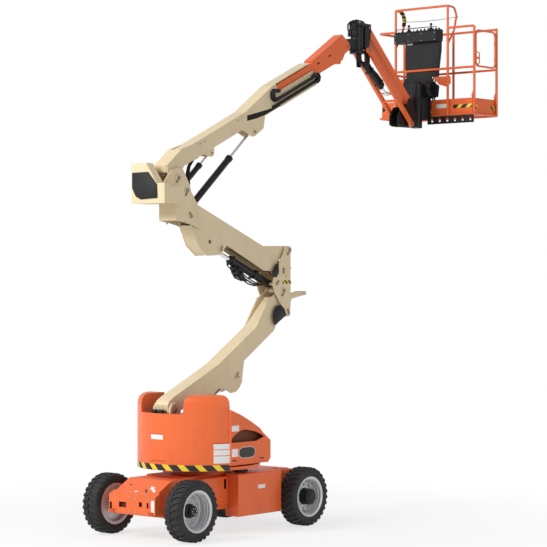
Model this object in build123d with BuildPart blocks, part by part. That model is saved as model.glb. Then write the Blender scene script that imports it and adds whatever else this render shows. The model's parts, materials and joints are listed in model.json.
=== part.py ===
"""Self-propelled articulating boom lift: each node is its own part, in millimetres, in the rest pose.

Frame: origin on the ground midway between the axles, +X toward the drive axle and platform, +Z up.
"""

import math
import os

from build123d import *

# ---------------------------------------------------------------- fits
FIT = 0.05  # radial running fit of a pin in its bore
SEAT = 0.3  # gap between faces of separate parts that sit on one another
FACE = 1.5  # side play between a boss and the plate beside it

# ---------------------------------------------------------------- overall sizes
WHEELBASE = 2010.0
TRACK = 1285.0
TYRE_R = 354.0
TYRE_W = 232.0
SWING_X = -120.0
HOOD_R = 750.0
LOWER_TILT = 34.75
MAIN_TILT = 24.7

# ---------------------------------------------------------------- linkage pins, (x, z)
FOOT = (-720.0, 1460.0)
FOOT_LINK = (-626.0, 1184.0)
LOWER_CYL_BASE = (-620.0, 1010.0)
LOWER_SPAN = (1963.0, 1362.0)
KNEE = (FOOT[0] + LOWER_SPAN[0], FOOT[1] + LOWER_SPAN[1])
KNEE_LINK = (FOOT_LINK[0] + LOWER_SPAN[0], FOOT_LINK[1] + LOWER_SPAN[1])
LOWER_CYL_ROD = (400.0, 1800.0)
MID_FOOT = (1349.0, 3322.0)
MID_FOOT_LINK = (1237.0, 3049.0)
MID_CYL_BASE = (1110.0, 2908.0)
MID_SPAN = (-1865.0, 678.0)
MID_HEAD = (MID_FOOT[0] + MID_SPAN[0], MID_FOOT[1] + MID_SPAN[1])
MID_HEAD_LINK = (MID_FOOT_LINK[0] + MID_SPAN[0], MID_FOOT_LINK[1] + MID_SPAN[1])
MID_CYL_ROD = (113.0, 3314.0)
BOOM_FOOT = (-662.0, 4142.0)
BOOM_CYL_BASE = (-447.0, 3700.0)
BOOM_CYL_ROD = (770.0, 4751.0)
LEVEL_CYL_ROD = (20.0, 4460.0)
JIB_FOOT = (2620.0, 5950.0)
ROTATOR_X = 2902.0
JIB_LOWER = (3000.0, 5930.0)
JIB_UPPER = (3062.0, 6234.0)
JIB_SPAN = (930.0, -900.0)
JIB_LOWER_END = (JIB_LOWER[0] + JIB_SPAN[0], JIB_LOWER[1] + JIB_SPAN[1])
JIB_UPPER_END = (JIB_UPPER[0] + JIB_SPAN[0], JIB_UPPER[1] + JIB_SPAN[1])
JIB_CYL_BASE = (3030.0, 5763.0)
JIB_CYL_ROD = (3539.0, 5408.0)
COLUMN_X = 4220.0

# ---------------------------------------------------------------- pins and plates
PIN_R = 28.0
LINK_PIN_R = 20.0
JIB_PIN_R = 18.0
BOSS_R = 68.0
LINK_BOSS_R = 38.0
PLATE = 12.0
UPRIGHT_IN = 123.0
UPRIGHT_OUT = UPRIGHT_IN + PLATE
PIN_HALF = UPRIGHT_OUT + 12.0
BOOM_SIDE_IN = 85.0
BOOM_SIDE_OUT = 100.0
BOOM_BOSS_OUT = UPRIGHT_IN - FACE
BOOM_EYE_IN = 65.0
LOWER_LINK_IN = 60.0
LOWER_LINK_OUT = 75.0
UPPER_LINK_IN = 53.0
UPPER_LINK_OUT = 65.0
LOWER_LINK_HALF = 28.0  # half heights of the link bars
UPPER_LINK_HALF = 26.0
JIB_LINK_HALF = 26.0
JIB_LINK_Y = (98.0, 142.0)
JIB_UPPER_HALF = 44.0
JIB_UPPER_Y = 52.0
LUG_IN = 32.0
LUG_OUT = 44.0


def slope_plane(origin, tilt):
    """Side-view plane whose first axis rises at tilt degrees, facing the near side."""
    angle = math.radians(tilt)
    return Plane(
        origin=(origin[0], 0, origin[1]),
        x_dir=(math.cos(angle), 0, math.sin(angle)),
        z_dir=(0, -1, 0),
    )


LOWER = slope_plane(FOOT, LOWER_TILT)
MAIN = slope_plane(BOOM_FOOT, MAIN_TILT)


def slab(outline, low, high, plane=Plane.XZ, mode=Mode.ADD):
    """One flat piece of a side-view outline, from low to high along the plane's normal."""
    with BuildSketch(plane.offset(low)) as section:
        with BuildLine():
            Polyline(*outline, close=True)
        make_face()
    extrude(section.sketch, amount=high - low, mode=mode)


def side_plates(outline, inner, outer, plane=Plane.XZ, mode=Mode.ADD):
    """A pair of plates of one outline, one on each side of the centre plane."""
    slab(outline, inner, outer, plane, mode)
    slab(outline, -outer, -inner, plane, mode)


def cross_pin(centre, radius, half, mode=Mode.ADD):
    """A cylinder across the machine through centre (x, z), half wide each way."""
    with BuildSketch(Plane.XZ.offset(-half)) as section:
        with Locations(centre):
            Circle(radius)
    extrude(section.sketch, amount=2 * half, mode=mode)


def side_bosses(centre, radius, inner, outer, mode=Mode.ADD):
    """A pair of round bosses at centre (x, z), one on each side."""
    for low in (inner, -outer):
        with BuildSketch(Plane.XZ.offset(low)) as section:
            with Locations(centre):
                Circle(radius)
        extrude(section.sketch, amount=outer - inner, mode=mode)


def upright_disc(x, y, radius, low, high, mode=Mode.ADD):
    """A vertical cylinder at (x, y) from low to high."""
    with BuildSketch(Plane.XY.offset(low)) as section:
        with Locations((x, y)):
            Circle(radius)
    extrude(section.sketch, amount=high - low, mode=mode)


def block(x_range, y_range, z_range, mode=Mode.ADD):
    """A box between three (low, high) ranges."""
    with Locations(
        (sum(x_range) / 2, sum(y_range) / 2, sum(z_range) / 2),
    ):
        Box(
            x_range[1] - x_range[0],
            y_range[1] - y_range[0],
            z_range[1] - z_range[0],
            mode=mode,
        )


def bar(start, end, half_height, grow=0.0):
    """Outline of a straight bar about the line from start to end, each end moved out by grow."""
    along = math.hypot(end[0] - start[0], end[1] - start[1])
    ux, uz = (end[0] - start[0]) / along, (end[1] - start[1]) / along
    return [
        (start[0] - ux * grow - uz * half_height, start[1] - uz * grow + ux * half_height),
        (start[0] - ux * grow + uz * half_height, start[1] - uz * grow - ux * half_height),
        (end[0] + ux * grow + uz * half_height, end[1] + uz * grow - ux * half_height),
        (end[0] + ux * grow - uz * half_height, end[1] + uz * grow + ux * half_height),
    ]


def mid_point(start, end, share):
    """The point a share of the way from start to end."""
    return (start[0] + (end[0] - start[0]) * share, start[1] + (end[1] - start[1]) * share)


nodes = {}

# ================================================================ chassis
FRAME_BOTTOM = 290.0
FRAME_TOP = 672.0
FRAME_HALF = 330.0
WAIST_HALF = 400.0
AXLE_Z = TYRE_R
STEER_X = -WHEELBASE / 2
DRIVE_X = WHEELBASE / 2
KINGPIN_Y = 500.0
KINGPIN_R = 20.0
KNUCKLE_LOW = 274.0
KNUCKLE_HIGH = 436.0
FORK_T = 26.0
STUB_R = 30.0
SLEW_R = 360.0
SLEW_TOP = 716.0
LASH_R = 16.0
LASH_Y = 300.0
LASH_EAR = 34.0

CHASSIS_PROFILE = [
    (-1293, FRAME_BOTTOM),
    (-1293, 500),
    (-990, FRAME_TOP),
    (1090, FRAME_TOP),
    (1200, 600),
    (1200, FRAME_BOTTOM + 40),
    (1160, FRAME_BOTTOM),
]
WAIST_X = (-590.0, 740.0)
END_PLATE = [(-1296, 300), (-1296, 505), (-1210, 548), (-1210, 300)]
END_PLATE_HALF = 362.0
AXLE_BEAM_END = KINGPIN_Y - 62.0
FORK_HALF = 40.0
LASH_HALF_T = 8.0
LASH_REACH = 60.0
END_POCKETS = [
    ((90, 204), (367, 428)),
    ((-157, -111), (389, 442)),
    ((318, 350), (310, 415)),
    ((-260, -232), (380, 440)),
]
LASH_POINTS = [(-1325.0, 330.0), (1232.0, 360.0)]  # x, z of each end's tie-down eyes

with BuildPart() as chassis_frame:
    slab(CHASSIS_PROFILE, -FRAME_HALF, FRAME_HALF)
    block(WAIST_X, (-WAIST_HALF, WAIST_HALF), (FRAME_BOTTOM, FRAME_TOP))
    block((740, 1150), (-WAIST_HALF, WAIST_HALF), (430, FRAME_TOP - 12))
    # end plate with its pockets
    slab(END_PLATE, -END_PLATE_HALF, END_PLATE_HALF)
    for y_range, z_range in END_POCKETS:
        block((-1300, -1258), y_range, z_range, Mode.SUBTRACT)
    # steer axle beam with a fork round each kingpin
    block((STEER_X - 55, STEER_X + 55), (-AXLE_BEAM_END, AXLE_BEAM_END), (300, 410))
    for low, high in (
        (KNUCKLE_LOW - FORK_T, KNUCKLE_LOW - FACE),
        (KNUCKLE_HIGH + FACE, KNUCKLE_HIGH + FORK_T),
    ):
        block((STEER_X - FORK_HALF, STEER_X + FORK_HALF), (-KINGPIN_Y, KINGPIN_Y), (low, high))
        for side in (-1, 1):
            upright_disc(STEER_X, side * KINGPIN_Y, FORK_HALF, low, high)
    for low, high in ((KNUCKLE_LOW - FORK_T, 310), (400, KNUCKLE_HIGH + FORK_T)):
        block((STEER_X - FORK_HALF, STEER_X + FORK_HALF), (-AXLE_BEAM_END, AXLE_BEAM_END), (low, high))
    for side in (-1, 1):
        upright_disc(
            STEER_X, side * KINGPIN_Y, KINGPIN_R,
            KNUCKLE_LOW - FORK_T, KNUCKLE_HIGH + FORK_T,
        )
    # drive axle tube and its stubs
    cross_pin((DRIVE_X, AXLE_Z), 75, 500)
    cross_pin((DRIVE_X, AXLE_Z), STUB_R, TRACK / 2 + 60)
    # deck plate and slewing ring
    block((-700, 900), (-330, 330), (FRAME_TOP - 2, 690))
    upright_disc(SWING_X, 0, SLEW_R, 680, SLEW_TOP)
    # tie-down ears
    for x, z in LASH_POINTS:
        inward = LASH_REACH if x < 0 else -LASH_REACH
        for side in (-1, 1):
            block(
                sorted((x, x + inward)),
                (side * LASH_Y - LASH_EAR, side * LASH_Y + LASH_EAR),
                (z - LASH_HALF_T, z + LASH_HALF_T),
            )
            upright_disc(x, side * LASH_Y, LASH_EAR, z - LASH_HALF_T, z + LASH_HALF_T)
            upright_disc(x, side * LASH_Y, LASH_R, z - LASH_HALF_T, z + LASH_HALF_T, Mode.SUBTRACT)
nodes["chassis_frame"] = chassis_frame

BOX_X = (-140.0, 640.0)
BOX_Z = (204.0, 700.0)
BOX_IN = WAIST_HALF + SEAT
BOX_OUT = 600.0

with BuildPart() as side_boxes:
    for side in (-1, 1):
        inner, outer = sorted((side * BOX_IN, side * BOX_OUT))
        block(BOX_X, (inner, outer), BOX_Z)
    fillet(side_boxes.edges().filter_by(Axis.X).group_by(Axis.Z)[-1], 18)
nodes["side_boxes"] = side_boxes

PANEL_X = (-588.0, -142.0)
PANEL_OUT = BOX_IN + 40.0
PANEL_SLOT_IN = BOX_IN + 14.0
PANEL_SLOT_X = (-209.0, -172.0)
PANEL_SLOT_Z = (523.0, 640.0)

with BuildPart() as service_panels:
    for side in (-1, 1):
        inner, outer = sorted((side * BOX_IN, side * PANEL_OUT))
        block(PANEL_X, (inner, outer), (FRAME_BOTTOM + 4, FRAME_TOP - 8))
        cut_in, cut_out = sorted((side * PANEL_SLOT_IN, side * (PANEL_OUT + 20)))
        block(PANEL_SLOT_X, (cut_in, cut_out), PANEL_SLOT_Z, Mode.SUBTRACT)
nodes["service_panels"] = service_panels

# ---------------------------------------------------------------- steering
ARM_X = STEER_X + 130
ARM_Y = KINGPIN_Y
ARM_ROOT = 30.0
ARM_TIP = 22.0
ARM_T = 22.0
TIE_Z = 244.0
TIE_PIN_R = 10.0

for name, side in (("left", 1), ("right", -1)):
    with BuildPart() as knuckle:
        upright_disc(STEER_X, side * KINGPIN_Y, 38, KNUCKLE_LOW, KNUCKLE_HIGH)
        stub_low, stub_high = sorted((side * KINGPIN_Y, side * (TRACK / 2 - 68)))
        with BuildSketch(Plane.XZ.offset(-stub_high)) as stub:
            with Locations((STEER_X, AXLE_Z)):
                Circle(44)
        extrude(stub.sketch, amount=stub_high - stub_low)
        stub_low, stub_high = sorted((side * KINGPIN_Y, side * (TRACK / 2 + 40)))
        with BuildSketch(Plane.XZ.offset(-stub_high)) as spindle:
            with Locations((STEER_X, AXLE_Z)):
                Circle(STUB_R)
        extrude(spindle.sketch, amount=stub_high - stub_low)
        with BuildSketch(Plane.XY.offset(KNUCKLE_LOW)) as arm:
            with BuildLine():
                Polyline(
                    (STEER_X, side * (KINGPIN_Y - ARM_ROOT)),
                    (ARM_X, side * (ARM_Y - ARM_TIP)),
                    (ARM_X + ARM_TIP, side * ARM_Y),
                    (ARM_X, side * (ARM_Y + ARM_TIP)),
                    (STEER_X, side * (KINGPIN_Y + ARM_ROOT)),
                    close=True,
                )
            make_face()
        extrude(arm.sketch, amount=ARM_T)
        upright_disc(
            STEER_X, side * KINGPIN_Y, KINGPIN_R + FIT, KNUCKLE_LOW - 1, KNUCKLE_HIGH + 1, Mode.SUBTRACT
        )
        upright_disc(ARM_X, side * ARM_Y, TIE_PIN_R, TIE_Z - 16, KNUCKLE_LOW + ARM_T)
    nodes[f"steer_knuckle_{name}"] = knuckle

with BuildPart() as tie_rod:
    for side in (-1, 1):
        upright_disc(ARM_X, side * ARM_Y, 22, TIE_Z - 14, TIE_Z + 14)
    with BuildSketch(Plane.XZ.offset(-ARM_Y)) as rod:
        with Locations((ARM_X, TIE_Z)):
            Circle(13)
    extrude(rod.sketch, amount=2 * ARM_Y)
    for side in (-1, 1):
        upright_disc(
            ARM_X, side * ARM_Y, TIE_PIN_R + FIT, TIE_Z - 20, TIE_Z + 20, Mode.SUBTRACT
        )
nodes["tie_rod"] = tie_rod

# ---------------------------------------------------------------- wheels
RIM_R = 226.0
FLANGE_R = 241.0
FLANGE_Y = 98.0
TYRE_PROFILE = [
    (RIM_R + SEAT, -FLANGE_Y + SEAT),
    (FLANGE_R + 4, -FLANGE_Y + SEAT),
    (FLANGE_R + 12, -TYRE_W / 2 + 6),
    (290, -TYRE_W / 2),
    (318, -TYRE_W / 2 + 2),
    (TYRE_R - 8, -TYRE_W / 2 + 18),
    (TYRE_R, -TYRE_W / 2 + 44),
    (TYRE_R, TYRE_W / 2 - 44),
    (TYRE_R - 8, TYRE_W / 2 - 18),
    (318, TYRE_W / 2 - 2),
    (290, TYRE_W / 2),
    (FLANGE_R + 12, TYRE_W / 2 - 6),
    (FLANGE_R + 4, FLANGE_Y - SEAT),
    (RIM_R + SEAT, FLANGE_Y - SEAT),
]
# radius, axial place from the wheel's middle, outward positive
STEER_RIM = [
    (STUB_R + FIT, -66),
    (70, -66),
    (200, -58),
    (206, -104),
    (FLANGE_R, -108),
    (FLANGE_R, -FLANGE_Y),
    (RIM_R, -FLANGE_Y),
    (RIM_R, FLANGE_Y),
    (FLANGE_R, FLANGE_Y),
    (FLANGE_R, 108),
    (230, 108),
    (212, 96),
    (206, -40),
    (196, -48),
    (120, -48),
    (104, -40),
    (84, -36),
    (80, -8),
    (66, 0),
    (60, 42),
    (48, 50),
    (0, 50),
    (0, 44),
    (STUB_R + FIT, 44),
]
DRIVE_RIM = [
    (STUB_R + FIT, -50),
    (196, -36),
    (206, -104),
    (FLANGE_R, -108),
    (FLANGE_R, -FLANGE_Y),
    (RIM_R, -FLANGE_Y),
    (RIM_R, FLANGE_Y),
    (FLANGE_R, FLANGE_Y),
    (FLANGE_R, 108),
    (230, 108),
    (212, 98),
    (206, 10),
    (190, -10),
    (170, 22),
    (132, 30),
    (126, 18),
    (104, 18),
    (98, 24),
    (95, 118),
    (84, 128),
    (58, 130),
    (54, 140),
    (0, 140),
    (0, 64),
    (STUB_R + FIT, 64),
]
WHEELS = [
    ("steer", "left", STEER_X, 1, STEER_RIM),
    ("steer", "right", STEER_X, -1, STEER_RIM),
    ("drive", "left", DRIVE_X, 1, DRIVE_RIM),
    ("drive", "right", DRIVE_X, -1, DRIVE_RIM),
]
for kind, name, x, side, rim_profile in WHEELS:
    centre_y = side * TRACK / 2
    axle = Axis((x, 0, AXLE_Z), (0, 1, 0))
    with BuildPart() as tyre:
        with BuildSketch(Plane.YZ.offset(x)):
            with BuildLine():
                Polyline(
                    *[(centre_y + side * along, AXLE_Z + radius) for radius, along in TYRE_PROFILE],
                    close=True,
                )
            make_face()
        revolve(axis=axle)
    nodes[f"{kind}_tyre_{name}"] = tyre
    with BuildPart() as rim:
        with BuildSketch(Plane.YZ.offset(x)):
            with BuildLine():
                Polyline(
                    *[(centre_y + side * along, AXLE_Z + radius) for radius, along in rim_profile],
                    close=True,
                )
            make_face()
        revolve(axis=axle)
    nodes[f"{kind}_rim_{name}"] = rim

# ================================================================ turntable
FLOOR_LOW = 765.0
FLOOR_HIGH = 802.0
TOWER_IN = 115.0
TOWER_OUT = 135.0
VALLEY_HALF = 330.0
HOOD_TOP = 1632.0
NOTCH_Z = 1420.0
HOOD_LOW = 765.0
HOOD_FRONT = -400.0
COVER_FRONT = 305.0
COVER_OUT = 716.0
COVER_LOW = 822.0

TOWER = [
    (-800, FLOOR_HIGH - 4),
    (-400, FLOOR_HIGH - 4),
    (-500, 1010),
    (-560, 1240),
    (-640, 1490),
    (-700, 1545),
    (-770, 1530),
    (-800, 1480),
]

with BuildPart() as turntable_frame:
    upright_disc(SWING_X, 0, 330, SLEW_TOP + SEAT, FLOOR_LOW + 10)
    with BuildSketch(Plane.XY.offset(FLOOR_LOW)) as floor:
        with Locations((SWING_X, 0)):
            Circle(HOOD_R - 52)
        with Locations((SWING_X + 560, 0)):
            Rectangle(520, 2 * 330, mode=Mode.SUBTRACT)
    extrude(floor.sketch, amount=FLOOR_HIGH - FLOOR_LOW)
    block((100, 470), (-300, 300), (FLOOR_LOW, FLOOR_HIGH))
    side_plates(TOWER, TOWER_IN, TOWER_OUT)
    # stiffening webs between the tower plates, clear of the boom foot and the cylinder
    block((-800, -786), (-TOWER_IN - 4, TOWER_IN + 4), (FLOOR_HIGH - 4, 1180))
    cross_pin(FOOT, PIN_R, PIN_HALF)
    side_bosses(FOOT, 60, TOWER_OUT - 1, PIN_HALF - 4)
    cross_pin(FOOT_LINK, LINK_PIN_R, TOWER_OUT + 8)
    cross_pin(LOWER_CYL_BASE, LINK_PIN_R, TOWER_OUT + 8)
nodes["turntable_frame"] = turntable_frame

with BuildPart() as rear_hood:
    with BuildSketch(Plane.XZ) as half_section:
        with BuildLine():
            Polyline(
                (SWING_X, HOOD_LOW),
                (SWING_X - HOOD_R, HOOD_LOW),
                (SWING_X - HOOD_R, 1505),
                (SWING_X - HOOD_R + 8, 1560),
                (SWING_X - HOOD_R + 30, 1600),
                (SWING_X - HOOD_R + 66, 1624),
                (SWING_X - HOOD_R + 110, HOOD_TOP),
                (SWING_X, HOOD_TOP),
                close=True,
            )
        make_face()
    revolve(half_section.sketch, axis=Axis((SWING_X, 0, 0), (0, 0, 1)))
    block((HOOD_FRONT, 900), (-900, 900), (HOOD_LOW - 5, HOOD_TOP + 5), Mode.SUBTRACT)
    block((-900, 900), (-VALLEY_HALF, VALLEY_HALF), (NOTCH_Z, HOOD_TOP + 5), Mode.SUBTRACT)
    with BuildSketch(Plane.XY.offset(HOOD_LOW - 5)) as valley:
        with Locations((SWING_X, 0)):
            Circle(HOOD_R - 52 + SEAT)
        with Locations((HOOD_FRONT, 0)):
            Rectangle(1000, 2 * VALLEY_HALF, mode=Mode.INTERSECT)
    extrude(valley.sketch, amount=900, mode=Mode.SUBTRACT)
    upright_disc(SWING_X, 0, HOOD_R - 52 + SEAT, HOOD_LOW - 5, FLOOR_HIGH + SEAT, Mode.SUBTRACT)
nodes["rear_hood"] = rear_hood

COVER_TOP = [
    (HOOD_FRONT + SEAT, 1466),
    (-374, 1455),
    (-225, 1401),
    (-51, 1318),
    (111, 1231),
    (176, 1170),
    (COVER_FRONT, 1078),
    (COVER_FRONT, 850),
    (280, COVER_LOW),
    (HOOD_FRONT + SEAT, COVER_LOW),
]
ARCH = [
    (-392, 1087),
    (-392, 1133),
    (-320, 1182),
    (-241, 1216),
    (-185, 1227),
    (-129, 1225),
    (30, 1195),
    (120, 1162),
    (191, 1128),
    (46, 1084),
]

with BuildPart() as side_covers:
    side_plates(COVER_TOP, VALLEY_HALF, COVER_OUT)
    side_plates(ARCH, COVER_OUT - 70, COVER_OUT + 10, mode=Mode.SUBTRACT)
    side_plates(
        [(-405, COVER_LOW - 5), (-405, COVER_LOW + 18), (320, COVER_LOW + 40), (320, COVER_LOW - 5)],
        COVER_OUT - 14, COVER_OUT + 10, mode=Mode.SUBTRACT,
    )
nodes["side_covers"] = side_covers

with BuildPart() as swing_drive:
    upright_disc(330, -200, 74, FLOOR_HIGH + SEAT, 930)
    upright_disc(330, -200, 52, 925, 1010)
    upright_disc(90, -430, 90, BOX_Z[1] + 6, FLOOR_LOW - SEAT)
    block((-300, 240), (-600, -342), (FLOOR_HIGH + SEAT, COVER_LOW - SEAT))
    block((-300, 240), (342, 600), (FLOOR_HIGH + SEAT, COVER_LOW - SEAT))
nodes["swing_drive"] = swing_drive

# ================================================================ lower boom, in its own plane (along, up)
LOWER_LENGTH = math.hypot(*LOWER_SPAN)
LOWER_OUTLINE = [
    (-60, 30),
    (-40, 96),
    (10, 116),
    (86, 110),
    (935, -50),
    (1755, -91),
    (2152, 61),
    (2205, 44),
    (2330, 36),
    (LOWER_LENGTH, 40),
    (LOWER_LENGTH + 30, -30),
    (2250, -90),
    (2195, -136),
    (2140, -186),
    (2085, -252),
    (2040, -300),
    (2001, -319),
    (1980, -319),
    (1341, -290),
    (1259, -367),
    (1163, -474),
    (1085, -506),
    (1007, -506),
    (926, -466),
    (877, -377),
    (800, -300),
    (500, -196),
    (160, -104),
    (40, -84),
    (-30, -60),
]
LOWER_TOP_CUT = [
    (-200, -700),
    (-200, 20),
    (-52, 20),
    (-34, 84),
    (86, 98),
    (935, -60),
    (1755, -101),
    (2152, -22),
    (2600, -14),
    (2600, -700),
]
LOWER_NOSE_SLOT = [(2262, -60), (2262, 60), (2600, 60), (2600, -60)]
LOWER_NOSE_CUT = [(1765, -88), (2152, -12), (2250, -6), (2600, -4), (2600, 300), (1765, 300)]

with BuildPart() as lower_boom:
    slab(LOWER_OUTLINE, -BOOM_SIDE_OUT, BOOM_SIDE_OUT, LOWER)
    slab(LOWER_TOP_CUT, -BOOM_SIDE_IN, BOOM_SIDE_IN, LOWER, Mode.SUBTRACT)
    slab(LOWER_NOSE_CUT, -BOOM_SIDE_IN, BOOM_SIDE_IN, LOWER, Mode.SUBTRACT)
    slab(LOWER_NOSE_SLOT, -BOOM_SIDE_IN, BOOM_SIDE_IN, LOWER, Mode.SUBTRACT)
    side_bosses(FOOT, BOSS_R, BOOM_SIDE_IN - 20, TOWER_IN - FACE)
    side_bosses(KNEE, BOSS_R - 6, BOOM_SIDE_IN, BOOM_BOSS_OUT)
    side_bosses(LOWER_CYL_ROD, LINK_PIN_R, BOOM_EYE_IN, BOOM_SIDE_OUT + 12)
    side_bosses(LOWER_CYL_ROD, 40, BOOM_SIDE_OUT - 1, BOOM_SIDE_OUT + 8)
    for hole in ((451.0, 1789.0), (306.0, 1652.0)):
        cross_pin(hole, 13, BOOM_SIDE_OUT + 20, Mode.SUBTRACT)
    cross_pin(FOOT, PIN_R + FIT, TOWER_IN, Mode.SUBTRACT)
    cross_pin(KNEE, PIN_R + FIT, UPRIGHT_IN, Mode.SUBTRACT)
nodes["lower_boom"] = lower_boom

with BuildPart() as lower_timing_link:
    side_plates(bar(FOOT_LINK, KNEE_LINK, LOWER_LINK_HALF), LOWER_LINK_IN, LOWER_LINK_OUT)
    for end in (FOOT_LINK, KNEE_LINK):
        side_bosses(end, LINK_BOSS_R, LOWER_LINK_IN, LOWER_LINK_OUT)
    for share in (0.66, 0.88):
        cross_pin(mid_point(FOOT_LINK, KNEE_LINK, share), 18, LOWER_LINK_OUT)
    for end in (FOOT_LINK, KNEE_LINK):
        cross_pin(end, LINK_PIN_R + FIT, LOWER_LINK_OUT + 5, Mode.SUBTRACT)
nodes["lower_timing_link"] = lower_timing_link

# ================================================================ mid upright
MID_UPRIGHT_OUTLINE = [
    (1277, 3345),
    (1270, 3366),
    (1382, 3367),
    (1382, 2640),
    (1364, 2511),
    (1299, 2505),
    (1189, 2668),
    (1100, 2774),
    (1034, 2908),
    (1057, 2972),
    (1154, 3147),
]
REST_TOP = 2800.0

with BuildPart() as mid_upright:
    side_plates(MID_UPRIGHT_OUTLINE, UPRIGHT_IN, UPRIGHT_OUT)
    block((1370, 1382), (-UPRIGHT_IN - 4, UPRIGHT_IN + 4), (2640, 3190))
    for centre, radius in (
        (MID_FOOT, PIN_R),
        (KNEE, PIN_R),
        (MID_FOOT_LINK, LINK_PIN_R),
        (KNEE_LINK, LINK_PIN_R),
        (MID_CYL_BASE, LINK_PIN_R),
    ):
        cross_pin(centre, radius, PIN_HALF)
    for centre in (MID_FOOT, KNEE):
        side_bosses(centre, 46, UPRIGHT_OUT - 1, UPRIGHT_OUT + 6)
    # boom rest: shelf with two gussets
    block((1370, 1742), (-90, 90), (REST_TOP - 14, REST_TOP))
    side_plates(
        [(1376, REST_TOP - 8), (1720, REST_TOP - 8), (1720, REST_TOP - 34), (1376, 2700)], 62, 74
    )
    block((1720, 1744), (-90, 90), (REST_TOP - 34, REST_TOP + 10))
nodes["mid_upright"] = mid_upright

# ================================================================ mid boom
MID_OUTLINE = [
    (-586, 4010),
    (-560, 4056),
    (-500, 4072),
    (-430, 4030),
    (-285, 3837),
    (895, 3369),
    (1354, 3374),
    (1400, 3330),
    (1385, 3270),
    (1250, 3240),
    (1157, 3168),
    (1080, 3066),
    (1058, 3062),
    (910, 3071),
    (236, 3371),
    (160, 3300),
    (113, 3262),
    (60, 3254),
    (-3, 3248),
    (-117, 3244),
    (-275, 3357),
    (-369, 3537),
    (-440, 3700),
    (-520, 3900),
]
MID_TOP_CUT = [
    (-700, 4200), (-300, 3900), (-286, 3826), (340, 3577), (893, 3358),
    (1345, 3363), (1500, 3363), (1500, 2900), (-700, 2900),
]
MID_OPEN_CUT = [(-700, 4200), (-700, 3200), (300, 3200), (330, 3650), (-300, 4200)]

with BuildPart() as mid_boom:
    slab(MID_OUTLINE, -BOOM_SIDE_OUT, BOOM_SIDE_OUT)
    slab(MID_TOP_CUT, -BOOM_SIDE_IN, BOOM_SIDE_IN, mode=Mode.SUBTRACT)
    slab(MID_OPEN_CUT, -BOOM_SIDE_IN, BOOM_SIDE_IN, mode=Mode.SUBTRACT)
    for centre in (MID_FOOT, MID_HEAD):
        side_bosses(centre, 52, BOOM_SIDE_IN, BOOM_BOSS_OUT)
    side_bosses(MID_CYL_ROD, LINK_PIN_R, BOOM_EYE_IN, BOOM_SIDE_OUT + 12)
    side_bosses(MID_CYL_ROD, 40, BOOM_SIDE_OUT - 1, BOOM_SIDE_OUT + 8)
    cross_pin((-74, 3409), 26, BOOM_SIDE_OUT + 20, Mode.SUBTRACT)
    cross_pin(MID_FOOT, PIN_R + FIT, UPRIGHT_IN, Mode.SUBTRACT)
    cross_pin(MID_HEAD, PIN_R + FIT, UPRIGHT_IN, Mode.SUBTRACT)
nodes["mid_boom"] = mid_boom

with BuildPart() as upper_timing_link:
    side_plates(bar(MID_FOOT_LINK, MID_HEAD_LINK, UPPER_LINK_HALF), UPPER_LINK_IN, UPPER_LINK_OUT)
    for end in (MID_FOOT_LINK, MID_HEAD_LINK):
        side_bosses(end, LINK_BOSS_R - 4, UPPER_LINK_IN, UPPER_LINK_OUT)
    for share in (0.2, 0.45):
        cross_pin(mid_point(MID_FOOT_LINK, MID_HEAD_LINK, share), 18, UPPER_LINK_OUT)
    cross_pin(MID_FOOT_LINK, LINK_PIN_R + FIT, UPPER_LINK_OUT + 5, Mode.SUBTRACT)
    cross_pin(MID_HEAD_LINK, JIB_PIN_R + FIT, UPPER_LINK_OUT + 5, Mode.SUBTRACT)
nodes["upper_timing_link"] = upper_timing_link

# ================================================================ upper upright
UPPER_UPRIGHT_OUTLINE = [
    (-700, 3645),
    (-550, 3625),
    (-420, 3600),
    (-262, 3550),
    (-360, 3660),
    (-370, 3750),
    (-420, 3900),
    (-460, 4060),
    (-580, 4240),
    (-660, 4260),
    (-780, 4230),
    (-920, 4068),
    (-920, 3840),
    (-700, 3840),
]
LUG_OUTLINE = [
    (-694, 3655),
    (-694, 3800),
    (-600, 3790),
    (-440, 3745),
    (-405, 3715),
    (-405, 3680),
    (-440, 3655),
    (-600, 3660),
]
BOX_REAR = -1030.0
BOX_HALF = 260.0

with BuildPart() as upper_upright:
    side_plates(UPPER_UPRIGHT_OUTLINE, UPRIGHT_IN, UPRIGHT_OUT)
    block((-700, -690), (-UPRIGHT_IN - 4, UPRIGHT_IN + 4), (3645, 3840))
    side_plates(LUG_OUTLINE, LUG_IN, LUG_OUT)
    cross_pin(BOOM_FOOT, PIN_R, PIN_HALF)
    cross_pin(MID_HEAD, PIN_R, PIN_HALF)
    cross_pin(MID_HEAD_LINK, JIB_PIN_R, UPPER_LINK_OUT + 4)
    cross_pin(BOOM_CYL_BASE, LINK_PIN_R, LUG_OUT + 4)
    side_bosses(BOOM_FOOT, 50, UPRIGHT_OUT - 1, UPRIGHT_OUT + 6)
    side_bosses(MID_HEAD, 44, UPRIGHT_OUT - 1, UPRIGHT_OUT + 6)
    side_bosses(BOOM_CYL_BASE, 34, UPRIGHT_OUT - 1, UPRIGHT_OUT + 8)
    cross_pin((-826, 4019), 22, PIN_HALF, Mode.SUBTRACT)
nodes["upper_upright"] = upper_upright

BOX_SECTION = [
    (BOX_HALF, 3840),
    (BOX_HALF, 4305),
    (30, 4305),
    (-140, 4068),
    (-BOX_HALF, 4068),
    (-BOX_HALF, 3840),
]

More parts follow.
